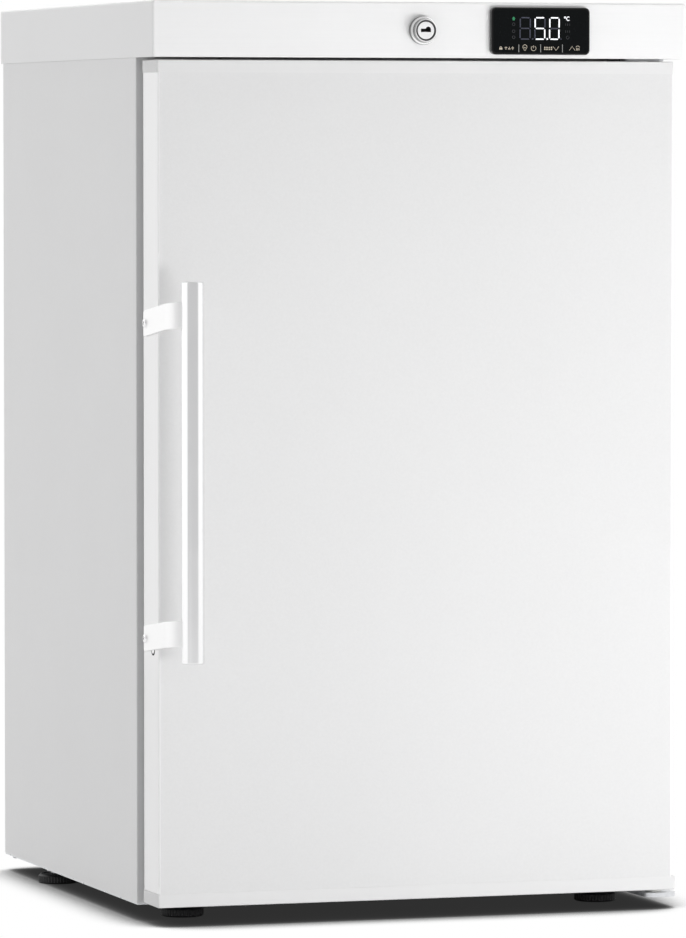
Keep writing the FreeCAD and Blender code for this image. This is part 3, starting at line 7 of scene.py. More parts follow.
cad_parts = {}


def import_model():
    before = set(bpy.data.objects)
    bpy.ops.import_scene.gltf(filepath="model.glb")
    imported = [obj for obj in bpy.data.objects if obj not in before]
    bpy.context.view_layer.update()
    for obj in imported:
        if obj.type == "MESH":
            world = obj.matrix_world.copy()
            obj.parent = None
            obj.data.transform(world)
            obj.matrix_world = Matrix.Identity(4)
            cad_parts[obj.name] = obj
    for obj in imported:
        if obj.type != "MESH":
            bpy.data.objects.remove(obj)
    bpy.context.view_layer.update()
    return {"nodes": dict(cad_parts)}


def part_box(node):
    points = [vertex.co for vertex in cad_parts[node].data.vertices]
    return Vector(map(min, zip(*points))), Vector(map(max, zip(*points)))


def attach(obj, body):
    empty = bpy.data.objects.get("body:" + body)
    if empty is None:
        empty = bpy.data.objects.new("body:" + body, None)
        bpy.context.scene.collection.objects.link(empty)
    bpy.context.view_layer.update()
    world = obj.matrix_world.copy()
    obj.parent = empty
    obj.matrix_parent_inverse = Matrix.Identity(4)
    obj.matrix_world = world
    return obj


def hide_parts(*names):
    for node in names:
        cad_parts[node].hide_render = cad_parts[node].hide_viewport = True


# A small upright medical refrigerator. Lengths are in metres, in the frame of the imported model:
# +X is its right side seen from the front, +Y its back and +Z up from the floor.

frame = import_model()

MM = 0.001
X = Vector((1, 0, 0))
Y = Vector((0, 1, 0))
Z = Vector((0, 0, 1))

# The camera that fits the photograph, whose frame is 686 by 938 pixels
CAMERA_PLACE = (-1.70140, -5.24446, 0.61838)
CAMERA_YAW = math.radians(18.0149)
CAMERA_PITCH = math.radians(-2.7656)
CAMERA_LENS = 254.198


# Shader maths

class Wire:
    """A node's output. Arithmetic on it adds Math nodes."""

    def __init__(self, shader, socket):
        self.shader = shader
        self.socket = socket

    def maths(self, operation, *values):
        return self.shader.node("Math", {"operation": operation}, dict(enumerate(values)))

    def __add__(self, other):
        return self.maths("ADD", self, other)

    def __radd__(self, other):
        return self.maths("ADD", other, self)

    def __sub__(self, other):
        return self.maths("SUBTRACT", self, other)

    def __rsub__(self, other):
        return self.maths("SUBTRACT", other, self)

    def __mul__(self, other):
        return self.maths("MULTIPLY", self, other)

    def __rmul__(self, other):
        return self.maths("MULTIPLY", other, self)

    def __truediv__(self, other):
        return self.maths("DIVIDE", self, other)

    def __pow__(self, other):
        return self.maths("POWER", self, other)


class Shader:
    """A node tree that is written as expressions."""

    def __init__(self, tree):
        self.tree = tree

    def node(self, kind, settings, values, output=0):
        made = self.tree.nodes.new("ShaderNode" + kind)
        for name, setting in settings.items():
            if name == "stops":
                stops = made.color_ramp.elements
                while len(stops) < len(setting):
                    stops.new(1.0)
                for (place, shade), stop in zip(setting, stops):
                    stop.position = place
                    stop.color = shade
            else:
                setattr(made, name, setting)
        for key, value in values.items():
            if isinstance(value, Wire):
                self.tree.links.new(value.socket, made.inputs[key])
            else:
                made.inputs[key].default_value = value
        return Wire(self, made.outputs[output])

    def place(self):
        return self.node("TexCoord", {}, {}, "Object")

    def facing_front(self):
        """1 on surfaces that face the front or back of the object, 0 on those that face its sides."""
        across = self.axes(self.node("TexCoord", {}, {}, "Normal"))[1]
        return across * across

    def axes(self, vector):
        split = self.node("SeparateXYZ", {}, {0: vector})
        return [Wire(self, output) for output in split.socket.node.outputs]

    def stretched(self, vector, scale):
        return self.node("Mapping", {}, {"Vector": vector, "Scale": scale})

    def noise(self, vector, scale, detail=2.0, roughness=0.5):
        return self.node("TexNoise", {}, {"Vector": vector, "Scale": scale, "Detail": detail,
                                          "Roughness": roughness})

    def cells(self, vector, scale, feature="F1"):
        return self.node("TexVoronoi", {"feature": feature}, {"Vector": vector, "Scale": scale})

    def range(self, value, low, high):
        """0 at low, 1 at high and between them in proportion."""
        return self.node("MapRange", {"clamp": True}, {0: value, 1: low, 2: high})

    def mixed(self, factor, first, second):
        return self.node("Mix", {"data_type": "RGBA"}, {0: factor, 6: first, 7: second}, 2)


class Finish(Shader):
    """A material of one principled shader."""

    def __init__(self, name, **constants):
        self.material = bpy.data.materials.new(name)
        self.material.use_nodes = True
        super().__init__(self.material.node_tree)
        self.shader = self.tree.nodes["Principled BSDF"]
        for key, value in constants.items():
            self.set(key.replace("_", " "), value)

    def set(self, socket, value):
        if isinstance(value, Wire):
            self.tree.links.new(value.socket, self.shader.inputs[socket])
        else:
            self.shader.inputs[socket].default_value = value

    def bump(self, height, strength, distance):
        self.set("Normal", self.node("Bump", {}, {"Strength": strength, "Distance": distance,
                                                  "Height": height}))


def linear(value):
    """A screen level, 0 to 255, as linear light."""
    share = value / 255
    return share / 12.92 if share <= 0.04045 else ((share + 0.055) / 1.055) ** 2.4


def colour(red, green=None, blue=None):
    """A colour as it looks on screen, 0 to 255, as the linear colour of a shader."""
    if green is None:
        green = blue = red
    return (linear(red), linear(green), linear(blue), 1.0)


# Coated sheets and plastics

def coated(name, dark, light, grain_scale, grain_depth, roughness, **constants):
    """Coated sheet: two close shades in soft clouds, a fine grain and a little variation of gloss."""
    finish = Finish(name, **constants)
    place = finish.place()
    cloud = finish.noise(place, 7.0, 3.0)
    speck = finish.noise(place, grain_scale * 0.5, 1.0)
    finish.set("Base Color", finish.mixed(cloud * 0.6 + speck * 0.4, dark, light))
    finish.set("Roughness", finish.noise(place, 60.0) * 0.08 + roughness)
    finish.bump(finish.noise(place, grain_scale, 2.0), 0.35, grain_depth)
    return finish.material


def cover_coat():
    """Smooth white powder coat of the folded top cover."""
    finish = Finish("cover_coat", Specular_IOR_Level=0.2)
    place = finish.place()
    streak = finish.noise(finish.stretched(place, (14.0, 900.0, 900.0)), 1.0, 3.0)
    cloud = finish.noise(place, 6.0, 2.0)
    finish.set("Base Color", finish.mixed(cloud * 0.5 + streak * 0.5, colour(242), colour(249)))
    finish.set("Roughness", streak * 0.12 + 0.30)
    finish.bump(streak + finish.noise(place, 800.0) * 0.5, 0.25, 0.03 * MM)
    return finish.material


# How far the glossy folds, painted paler as a highlight, reach in from the sides of the door's skin
DOOR_FOLD = 1.6 * MM


def door_coat():
    """A fine pebbled laminate on the door's skin, smoother and glossy on the folded edges, with a painted
    highlight there: a paler colour than the face.
    """
    finish = Finish("door_coat", Coat_Roughness=0.12)
    place = finish.place()
    low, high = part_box("door_skin")
    across = finish.axes(place)[0]
    left = finish.range(across, low.x + DOOR_FOLD, low.x + DOOR_FOLD * 0.6)
    right = finish.range(across, high.x - DOOR_FOLD, high.x - DOOR_FOLD * 0.6)
    fold_gloss_and_highlight = left + right
    pebble = finish.cells(place, 900.0, "SMOOTH_F1")
    broad = finish.noise(place, 420.0, 3.0, 0.7)
    cloud = finish.noise(place, 4.0, 2.0)
    face = finish.mixed(broad * 0.6 + cloud * 0.4, colour(222), colour(234))
    # Painted highlight: the folded edges are given a paler colour than the face.
    edge = finish.mixed(cloud, colour(246), colour(252))
    finish.set("Base Color", finish.mixed(fold_gloss_and_highlight, face, edge))
    finish.set("Coat Weight", fold_gloss_and_highlight)
    finish.set("Roughness", (broad * 0.15 + 0.36) * (1 - fold_gloss_and_highlight * 0.3))
    finish.bump((pebble + broad) * (1 - fold_gloss_and_highlight * 0.8), 0.5, 0.05 * MM)
    return finish.material


def moulded(name, dark, light, roughness, texture_scale=1500.0, depth=0.01 * MM, **constants):
    """A moulded plastic: faint flow shades and a fine spark-eroded texture."""
    finish = Finish(name, **constants)
    place = finish.place()
    flow = finish.noise(finish.stretched(place, (8.0, 40.0, 20.0)), 1.0, 3.0)
    texture = finish.noise(place, texture_scale, 2.0, 0.6)
    finish.set("Base Color", finish.mixed(flow, dark, light))
    finish.set("Roughness", texture * 0.15 + roughness)
    finish.bump(texture, 0.4, depth)
    return finish.material


def bezel_plastic():
    """Black moulding of the controller, polished on its flanks."""
    finish = Finish("black_plastic", Specular_IOR_Level=0.2, Coat_Roughness=0.1)
    texture = finish.noise(finish.place(), 1500.0, 2.0, 0.6)
    finish.set("Base Color", finish.mixed(texture, colour(9), colour(17)))
    finish.set("Roughness", texture * 0.15 + 0.32)
    finish.set("Coat Weight", 1 - finish.facing_front())
    finish.bump(texture, 0.4, 0.01 * MM)
    return finish.material


def foam():
    """Rigid polyurethane foam with its fine cells."""
    finish = Finish("foam")
    place = finish.place()
    cell = finish.cells(place, 700.0)
    finish.set("Base Color", finish.mixed(cell, colour(214, 190, 140), colour(238, 220, 176)))
    finish.set("Roughness", 0.85 + cell * 0.1)
    finish.bump(cell, 0.6, 0.3 * MM)
    return finish.material


def metal(name, dark, light, roughness, lines, metallic=1.0):
    """A metal with fine lines along one direction, given as how short the lines are along each axis."""
    finish = Finish(name, Metallic=metallic)
    place = finish.place()
    line = finish.noise(finish.stretched(place, lines), 500.0, 3.0, 0.6)
    cloud = finish.noise(place, 40.0, 3.0)
    finish.set("Base Color", finish.mixed(line * 0.5 + cloud * 0.5, dark, light))
    finish.set("Roughness", line * 0.12 + cloud * 0.08 + roughness)
    finish.bump(line, 0.3, 0.01 * MM)
    return finish.material


def lock_chrome():
    """Nickel plate, with painted shade: pale on the turned faces and darker grey on the flanks."""
    finish = Finish("lock_chrome", Metallic=1.0)
    place = finish.place()
    ring = finish.noise(place, 300.0, 2.0)
    # Painted shade: the colour darkens where the surface turns from facing the front to facing the sides.
    face = finish.range(finish.facing_front(), 0.25, 0.9)
    finish.set("Base Color", finish.mixed(face + ring * 0.1, colour(128), colour(250)))
    finish.set("Roughness", ring * 0.06 + 0.10)
    finish.bump(ring, 0.1, 0.01 * MM)
    return finish.material


def zinc():
    """Bright zinc plate with its faint mottled passivation."""
    finish = Finish("zinc", Metallic=0.65)
    place = finish.place()
    mottle = finish.cells(place, 260.0, "SMOOTH_F1")
    cloud = finish.noise(place, 90.0, 4.0)
    spangle = mottle * 0.5 + cloud * 0.5
    finish.set("Base Color", finish.mixed(spangle, colour(208, 210, 212), colour(230, 231, 233)))
    finish.set("Roughness", cloud * 0.25 + 0.18)
    finish.bump(cloud, 0.2, 0.02 * MM)
    return finish.material


def copper():
    """Drawn copper tube, a little tarnished."""
    finish = Finish("copper", Metallic=1.0)
    place = finish.place()
    tarnish = finish.range(finish.noise(place, 60.0, 5.0, 0.65), 0.4, 0.7)
    finish.set("Base Color", finish.mixed(tarnish, colour(206, 132, 96), colour(132, 84, 62)))
    finish.set("Roughness", tarnish * 0.3 + 0.22)
    finish.bump(finish.noise(place, 700.0), 0.2, 0.02 * MM)
    return finish.material


def window_pane():
    """Dark tinted pane of the controller, polished, with faint dust."""
    finish = Finish("window_pane", Specular_IOR_Level=0.12)
    place = finish.place()
    dust = finish.range(finish.noise(place, 900.0, 2.0), 0.62, 0.75)
    finish.set("Base Color", finish.mixed(dust, colour(6, 9, 10), colour(14, 16, 17)))
    finish.set("Roughness", dust * 0.2 + 0.12)
    return finish.material


def lens():
    """Frosted lens of the lamp with fine prisms."""
    finish = Finish("lens", Transmission_Weight=0.5)
    place = finish.place()
    prism = finish.noise(finish.stretched(place, (900.0, 20.0, 20.0)), 1.0, 1.0)
    finish.set("Base Color", finish.mixed(prism, colour(226, 230, 232), colour(247, 248, 249)))
    finish.set("Roughness", prism * 0.2 + 0.3)
    finish.bump(prism, 0.5, 0.1 * MM)
    return finish.material


def glowing(name, shade, strength):
    """A lit mark of the display behind its pane, its glow varied by a fine grain."""
    finish = Finish(name, Roughness=0.3, Emission_Strength=strength)
    place = finish.place()
    grain = finish.noise(place, 1400.0, 1.0)
    low = tuple(part * 0.8 for part in shade[:3]) + (1.0,)
    unlit = tuple(part * 0.2 for part in shade[:3]) + (1.0,)
    finish.set("Base Color", finish.mixed(grain, unlit, low))
    finish.set("Emission Color", finish.mixed(grain, low, shade))
    return finish.material


def printed(name, shade):
    """Ink on the back of the pane."""
    finish = Finish(name, Roughness=0.3)
    place = finish.place()
    low = tuple(part * 0.82 for part in shade[:3]) + (1.0,)
    finish.set("Base Color", finish.mixed(finish.noise(place, 1800.0, 2.0), low, shade))
    return finish.material


FINISHES = {
    "cover_coat": cover_coat(),
    "panel_coat": coated("panel_coat", colour(233, 233, 233), colour(240, 240, 240), 650.0, 0.02 * MM, 0.33,
                         Specular_IOR_Level=0.3),
    "door_coat": door_coat(),
    "cap_plastic": moulded("cap_plastic", colour(227), colour(235), 0.36),
    "liner_plastic": moulded("liner_plastic", colour(234, 236, 238), colour(243, 244, 245), 0.22),
    "foam": foam(),
    "seal": moulded("seal", colour(145, 146, 147), colour(161, 162, 163), 0.55, 900.0, 0.03 * MM),
    "handle_coat": metal("handle_coat", colour(240, 240, 241), colour(249), 0.10, (60.0, 60.0, 0.6)),
    "lock_chrome": lock_chrome(),
    "zinc": zinc(),
    "screw_steel": metal("screw_steel", colour(176, 177, 180), colour(205, 206, 208), 0.24, (1.0, 1.0, 1.0)),
    "black_plastic": bezel_plastic(),
    "window": window_pane(),
    "bush_plastic": moulded("bush_plastic", colour(212, 212, 208), colour(226, 226, 222), 0.4),
    "foot_plastic": moulded("foot_plastic", colour(15, 15, 16), colour(27, 27, 28), 0.42, 1200.0, 0.04 * MM),
    "pot_paint": coated("pot_paint", colour(22, 22, 23), colour(34, 34, 35), 500.0, 0.05 * MM, 0.3,
                        Coat_Weight=0.3),
    "grommet_rubber": moulded("grommet_rubber", colour(24, 24, 24), colour(36, 36, 36), 0.7),
    "copper": copper(),
    "condenser_paint": coated("condenser_paint", colour(24, 24, 25), colour(36, 36, 37), 800.0, 0.03 * MM,
                              0.4),
    "aluminium": metal("aluminium", colour(196, 198, 200), colour(224, 225, 227), 0.28, (1.0, 8.0, 8.0)),
    "wire_coat": moulded("wire_coat", colour(236, 238, 240), colour(245, 246, 247), 0.25, 900.0, 0.02 * MM),
    "grey_plastic": moulded("grey_plastic", colour(108, 109, 111), colour(124, 125, 127), 0.5),
    "lens": lens(),
    "probe_steel": metal("probe_steel", colour(196, 197, 199), colour(220, 221, 223), 0.12, (1.0, 1.0, 8.0)),
}
STRAP_COAT = metal("strap_coat", colour(248), colour(254), 0.33, (1.0, 1.0, 1.0), metallic=0.85)
PLUG_FACE = metal("plug_face", colour(246), colour(252), 0.45, (1.0, 1.0, 1.0), metallic=0.35)
GAP_SHADOW = moulded("lock_gap_painted_shadow", colour(84, 84, 86), colour(108, 108, 110), 0.5)
KEY_SHADOW = moulded("keyhole_painted_shade", colour(62), colour(92), 0.7)
HOLE_SHADE_RING = moulded("hole_ring", colour(20), colour(34), 0.6, Specular_IOR_Level=0.15)
LIT = glowing("digit_light", colour(250, 251, 255), 1.0)
DIM = printed("segment_dim", colour(62, 64, 78))
GREEN = glowing("state_light", colour(52, 150, 100), 0.36)
INK = printed("touch_ink", colour(206, 196, 178))
RULE_INK = printed("rule_ink", colour(160, 160, 158))
FAINT = printed("faint_ink", colour(40, 41, 44))


def dress_nodes():
    """Each node of the frame takes the finish of its slot in the record."""
    for node in frame["nodes"].values():
        for slot in node.material_slots:
            slot.material = FINISHES[slot.material.name.split(".")[0]]


# Meshes

# Faces that meet at more than this angle, in degrees, keep a sharp edge between them. A round piece of
# few sides has the larger one.
SHARP = 32.0
ROUND_SHARP = 50.0


def shade_smooth(mesh, sharp):
    """Smooth shading between the edges that are sharper than this angle."""
    mesh.shade_smooth()
    mesh.set_sharp_from_angle(angle=math.radians(sharp))
    return mesh


class Form:
    """Corners and faces of one piece, gathered before its mesh is made."""

    def __init__(self):
        self.corners = []
        self.faces = []

    def loft(self, rings, start=True, end=True):
        """Skins closed rings of equal count, with flat ends where asked."""
        base = len(self.corners)
        count = len(rings[0])
        for ring in rings:
            self.corners += [Vector(point) for point in ring]
        for i in range(len(rings) - 1):
            for j in range(count):
                k = (j + 1) % count
                first = base + i * count
                self.faces.append((first + j, first + k, first + count + k, first + count + j))
        if start:
            self.faces.append(tuple(range(base + count - 1, base - 1, -1)))
        if end:
            last = base + (len(rings) - 1) * count
            self.faces.append(tuple(range(last, last + count)))
        return self

    def turned(self, profile, centre, axis, steps=96, wobble=None, ends=True):
        """A turned form; the profile gives (distance along the axis, radius), in metres."""
        side = Vector((axis.y, axis.z, axis.x))
        other = axis.cross(side)
        rings = []
        for along, radius in profile:
            ring = []
            for k in range(steps):
                angle = math.tau * k / steps
                outward = side * math.cos(angle) + other * math.sin(angle)
                reach = radius - (wobble(angle, along) if wobble else 0.0)
                ring.append(centre + axis * along + outward * reach)
            rings.append(ring)
        return self.loft(rings, ends, ends)

    def tube(self, path, radius, sides=16):
        """A round tube along a path of points."""
        rings = []
        side = None
        for i, point in enumerate(path):
            before = path[max(i - 1, 0)]
            after = path[min(i + 1, len(path) - 1)]
            ahead = (after - before).normalized()
            if side is None:
                side = ahead.orthogonal().normalized()
            side = (side - ahead * side.dot(ahead)).normalized()
            up = ahead.cross(side)
            turns = [math.tau * k / sides for k in range(sides)]
            rings.append([point + (side * math.cos(turn) + up * math.sin(turn)) * radius for turn in turns])
        return self.loft(rings)

    def block(self, low, high):
        x0, y0, z0 = low
        x1, y1, z1 = high
        return self.loft([[(x, y, z) for x, y in ((x0, y0), (x1, y0), (x1, y1), (x0, y1))] for z in (z0, z1)])

    def add(self, other, matrix=None):
        """Takes in another form, moved by a matrix."""
        base = len(self.corners)
        self.corners += [matrix @ corner if matrix else corner for corner in other.corners]
        self.faces += [tuple(base + index for index in face) for face in other.faces]
        return self

    def mesh(self, name, sharp=SHARP):
        mesh = bpy.data.meshes.new(name)
        mesh.from_pydata([tuple(corner) for corner in self.corners], [], self.faces)
        tidy = bmesh.new()
        tidy.from_mesh(mesh)
        bmesh.ops.remove_doubles(tidy, verts=tidy.verts, dist=1e-7)
        bmesh.ops.recalc_face_normals(tidy, faces=tidy.faces)
        tidy.to_mesh(mesh)
        tidy.free()
        return shade_smooth(mesh, sharp)


def piece(name, form, body, slot, replaces=(), finish=None, sharp=SHARP):
    """A new object of the scene, on its body, with its finish."""
    mesh = form if isinstance(form, bpy.types.Mesh) else form.mesh(name, sharp)
    made = bpy.data.objects.new(name, mesh)
    bpy.context.scene.collection.objects.link(made)
    mesh.materials.clear()
    mesh.materials.append(finish or FINISHES[slot])
    even = made.modifiers.new("even_shading", "WEIGHTED_NORMAL")
    even.keep_sharp = True
    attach(made, body)
    if replaces:
        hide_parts(*replaces)


def carved(form, cutters, name):
    """The mesh of a form with other forms cut out of it."""
    whole = bpy.data.objects.new(name, form.mesh(name))
    bpy.context.scene.collection.objects.link(whole)
    tools = []
    for number, cutter in enumerate(cutters):
        tool = bpy.data.objects.new(f"{name}_cutter_{number}", cutter.mesh("cutter"))
        bpy.context.scene.collection.objects.link(tool)
        tools.append(tool)
        step = whole.modifiers.new("cut", "BOOLEAN")
        step.object = tool
        step.solver = "EXACT"
    seen = whole.evaluated_get(bpy.context.evaluated_depsgraph_get())
    mesh = bpy.data.meshes.new_from_object(seen)
    for made in [whole, *tools]:
        bpy.data.objects.remove(made)
    return shade_smooth(mesh, SHARP)


def rounded_path(corners, bend, steps=8):
    """Points along straight runs whose corners are arcs of one bend radius."""
    points = [corners[0]]
    for before, corner, after in zip(corners, corners[1:], corners[2:]):
        back = (before - corner).normalized()
        ahead = (after - corner).normalized()
        half = (math.pi - back.angle(ahead)) / 2
        centre = corner + (back + ahead).normalized() * (bend / math.cos(half))
        first = corner + back * bend * math.tan(half) - centre
        last = corner + ahead * bend * math.tan(half) - centre
        for k in range(steps + 1):
            points.append(centre + first.slerp(last, k / steps).normalized() * bend)
    points.append(corners[-1])
    return points


def smoothed(node, slot):
    """A round piece of the cabinet, of few sides, keeps its form and is shaded as round."""
    name = node + "_smooth"
    mesh = bpy.data.meshes.new(name)
    joined = bmesh.new()
    joined.from_mesh(frame["nodes"][node].data)
    bmesh.ops.remove_doubles(joined, verts=joined.verts, dist=1e-6)
    joined.to_mesh(mesh)
    joined.free()
    piece(name, shade_smooth(mesh, ROUND_SHARP), "cabinet", slot, [node])


def middle(node):
    low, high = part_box(node)
    return (low + high) / 2


# Handle

BAR_RADIUS = 9.0 * MM
STRAP_SHEET = 2.5 * MM
STRAP_HEIGHT = 20.7 * MM
STRAP_RISE = 8.7 * MM
STRAP_EDGE = 0.5 * MM
STRAP_CORNER = 1.5 * MM
STRAP_WRAP = 70.0
BAR_EDGE = 1.2 * MM


def bar_centre():
    low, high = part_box("handle_bar")
    return Vector((high.x - BAR_RADIUS, (low.y + high.y) / 2, low.z))


def handle_bar():
    low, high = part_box("handle_bar")
    length = high.z - low.z
    profile = [(0.0, BAR_RADIUS - BAR_EDGE), (BAR_EDGE * 0.3, BAR_RADIUS - BAR_EDGE * 0.35),
               (BAR_EDGE, BAR_RADIUS), (length - BAR_EDGE, BAR_RADIUS),
               (length - BAR_EDGE * 0.3, BAR_RADIUS - BAR_EDGE * 0.35), (length, BAR_RADIUS - BAR_EDGE)]
    piece("handle_bar_tube", Form().turned(profile, bar_centre(), Z), "door", "handle_coat", ["handle_bar"])


def strap_section(thick, tall, edge):
    """A flat bar's section with rounded corners: (across the sheet, up)."""
    points = []
    for across, up, start in ((1, 1, 0), (-1, 1, 90), (-1, -1, 180), (1, -1, 270)):
        for step in (0, 30, 60, 90):
            angle = math.radians(start + step)
            points.append((across * (thick / 2 - edge) + edge * math.cos(angle),
                           up * (tall / 2 - edge) + edge * math.sin(angle)))
    return points


def handle_strap(rear_z):
    """One strap: along the door's edge, then round in a quarter turn into the bar."""
    low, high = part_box("handle_straps")
    bar = bar_centre()
    rear = high.y
    line_x = low.x + STRAP_SHEET / 2
    turn = bar.x - line_x
    straight = bar.y + turn + STRAP_SHEET / 2
    stations = []
    for k in range(9):
        angle = math.radians(90 * k / 8)
        back = STRAP_CORNER * (1 - math.cos(angle))
        tall = STRAP_HEIGHT - 2 * STRAP_CORNER * (1 - math.sin(angle))
        stations.append((line_x, rear - back, -1.0, 0.0, tall))
    for k in range(1, 9):
        stations.append((line_x, rear - STRAP_CORNER + (straight - rear + STRAP_CORNER) * k / 8, -1.0, 0.0,
                         STRAP_HEIGHT))
    for k in range(1, 25):
        angle = math.radians(180 + STRAP_WRAP * k / 24)
        stations.append((bar.x + turn * math.cos(angle), straight + turn * math.sin(angle),
                         math.cos(angle), math.sin(angle), STRAP_HEIGHT))
    rings = []
    for x, y, out_x, out_y, tall in stations:
        z = rear_z + STRAP_RISE * (rear - y) / (rear - bar.y)
        rings.append([(x + across * out_x, y + across * out_y, z + up)
                      for across, up in strap_section(STRAP_SHEET, tall, min(STRAP_EDGE, tall / 3))])
    return Form().loft(rings)


def handle_straps():
    low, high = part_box("handle_straps")
    first = low.z + STRAP_HEIGHT / 2
    bar = bar_centre()
    last = high.z - STRAP_HEIGHT / 2 - STRAP_RISE * (high.y - low.y) / (high.y - bar.y)
    form = handle_strap(first).add(handle_strap(last))
    piece("handle_strap_pair", form, "door", "handle_coat", ["handle_straps"], STRAP_COAT)


# Screws

HEAD_RADIUS = 3.6 * MM
HEAD_HEIGHT = 1.8 * MM


def screw_head():
    """A pan head with a cross recess, on the origin, its top along +Z."""
    dome = [(0.0, HEAD_RADIUS * 0.96)]
    for k in range(7):
        angle = math.radians(90 * k / 6)
        dome.append((0.35 * HEAD_HEIGHT + 0.65 * HEAD_HEIGHT * math.sin(angle),
                     HEAD_RADIUS * (0.62 + 0.38 * math.cos(angle))))
    head = Form().turned(dome, Vector(), Z, 40)
    wide = 0.55 * HEAD_RADIUS
    thin = 0.13 * HEAD_RADIUS
    floor = HEAD_HEIGHT * 0.35
    top = HEAD_HEIGHT * 1.2
    arms = [Form().block((-wide, -thin, floor), (wide, thin, top)),
            Form().block((-thin, -wide, floor), (thin, wide, top))]
    mesh = carved(head, arms, "screw_head")
    form = Form()
    form.corners = [vertex.co.copy() for vertex in mesh.vertices]
    form.faces = [tuple(face.vertices) for face in mesh.polygons]
    return form


def islands(node):
    """The corners of each separate solid of a node."""
    mesh = frame["nodes"][node].data
    parent = list(range(len(mesh.vertices)))

    def root(index):
        while parent[index] != index:
            parent[index] = parent[parent[index]]
            index = parent[index]
        return index

    same = {}
    for vertex in mesh.vertices:
        key = tuple(round(part * 1e6) for part in vertex.co)
        first = same.setdefault(key, vertex.index)
        parent[root(vertex.index)] = root(first)
    for edge in mesh.edges:
        parent[root(edge.vertices[0])] = root(edge.vertices[1])
    groups = {}
    for vertex in mesh.vertices:
        groups.setdefault(root(vertex.index), []).append(vertex.co)
    return groups.values()


def screws(node, body, name, slot):
    """Detailed heads for each screw of a node: a screw's head is the wide end of its solid."""
    head = screw_head()
    form = Form()
    for corners in islands(node):
        low = Vector(map(min, zip(*corners)))
        high = Vector(map(max, zip(*corners)))
        size = high - low
        axis = max(range(3), key=lambda k: size[k])
        seat = (low + high) / 2
        centre = sum(corners, Vector()) / len(corners)
        outward = Vector()
        outward[axis] = 1.0 if centre[axis] > seat[axis] else -1.0
        seat[axis] = high[axis] - HEAD_HEIGHT if outward[axis] > 0 else low[axis] + HEAD_HEIGHT
        turn = outward.to_track_quat("Z", "Y").to_matrix().to_4x4()
        form.add(head, Matrix.Translation(seat) @ turn @ Matrix.Rotation(0.4 + 7.0 * seat.z, 4, "Z"))
    piece(name, form, body, slot, [node])


# Lock

LOCK_PROUD = 9.0 * MM
LOCK_RADIUS = 11.5 * MM
LOCK_STEP_RADIUS = 9.6 * MM
LOCK_STEP = 4.2 * MM
SHANK_RADIUS = 9.0 * MM
SHANK_BORE = 8.5 * MM
SHANK_LENGTH = 18.0 * MM
GROOVE_OUTER = 8.3 * MM
GROOVE_INNER = 7.0 * MM
GROOVE_DEPTH = 6.0 * MM
PLUG_RADIUS = 7.75 * MM
PLUG_END = 19.0 * MM
SPINDLE_RADIUS = 4.0 * MM
SPINDLE_END = 28.0 * MM


def lock_face():
    """The middle of the lock on the fascia's face."""
    centre = middle("lock_housing")
    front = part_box("lock_housing")[0].y
    return Vector((0.0, front + LOCK_PROUD, centre.z))


def lock_housing():
    proud = -LOCK_PROUD
    outer = [(0.0, LOCK_RADIUS), (-3.0 * MM, LOCK_RADIUS), (-3.7 * MM, LOCK_RADIUS - 0.25 * MM),
             (-4.1 * MM, LOCK_RADIUS - 0.9 * MM), (-LOCK_STEP, LOCK_STEP_RADIUS + 0.2 * MM),
             (-LOCK_STEP - 0.2 * MM, LOCK_STEP_RADIUS), (-7.8 * MM, LOCK_STEP_RADIUS),
             (-8.6 * MM, LOCK_STEP_RADIUS - 0.3 * MM), (-8.9 * MM, LOCK_STEP_RADIUS - 0.7 * MM),
             (proud, LOCK_STEP_RADIUS - 1.0 * MM)]
    lip = [(proud, GROOVE_OUTER + 0.1 * MM), (proud + 0.1 * MM, GROOVE_OUTER),
           (proud + 0.3 * MM, GROOVE_OUTER)]
    back = [(SHANK_LENGTH, SHANK_BORE), (SHANK_LENGTH, SHANK_RADIUS), (0.0, SHANK_RADIUS)]
    rings = Form().turned(back + outer + lip + back[:1], lock_face(), Y, 128, ends=False)
    piece("lock_housing_ring", rings, "cabinet", "lock_chrome", ["lock_housing"])
    # A dark sleeve lines the groove between housing and plug: painted shadow in the gap.
    groove = [(proud + 0.25 * MM, GROOVE_OUTER), (proud + 1.2 * MM, PLUG_RADIUS + 0.12 * MM),
              (proud + GROOVE_DEPTH, PLUG_RADIUS + 0.12 * MM),
              (proud + GROOVE_DEPTH, GROOVE_OUTER + 0.2 * MM), (proud + 0.25 * MM, GROOVE_OUTER + 0.2 * MM)]
    hollow = Form().turned(groove + groove[:1], lock_face(), Y, 128, ends=False)
    piece("lock_bore_painted_shadow", hollow, "cabinet", "lock_chrome", finish=GAP_SHADOW)


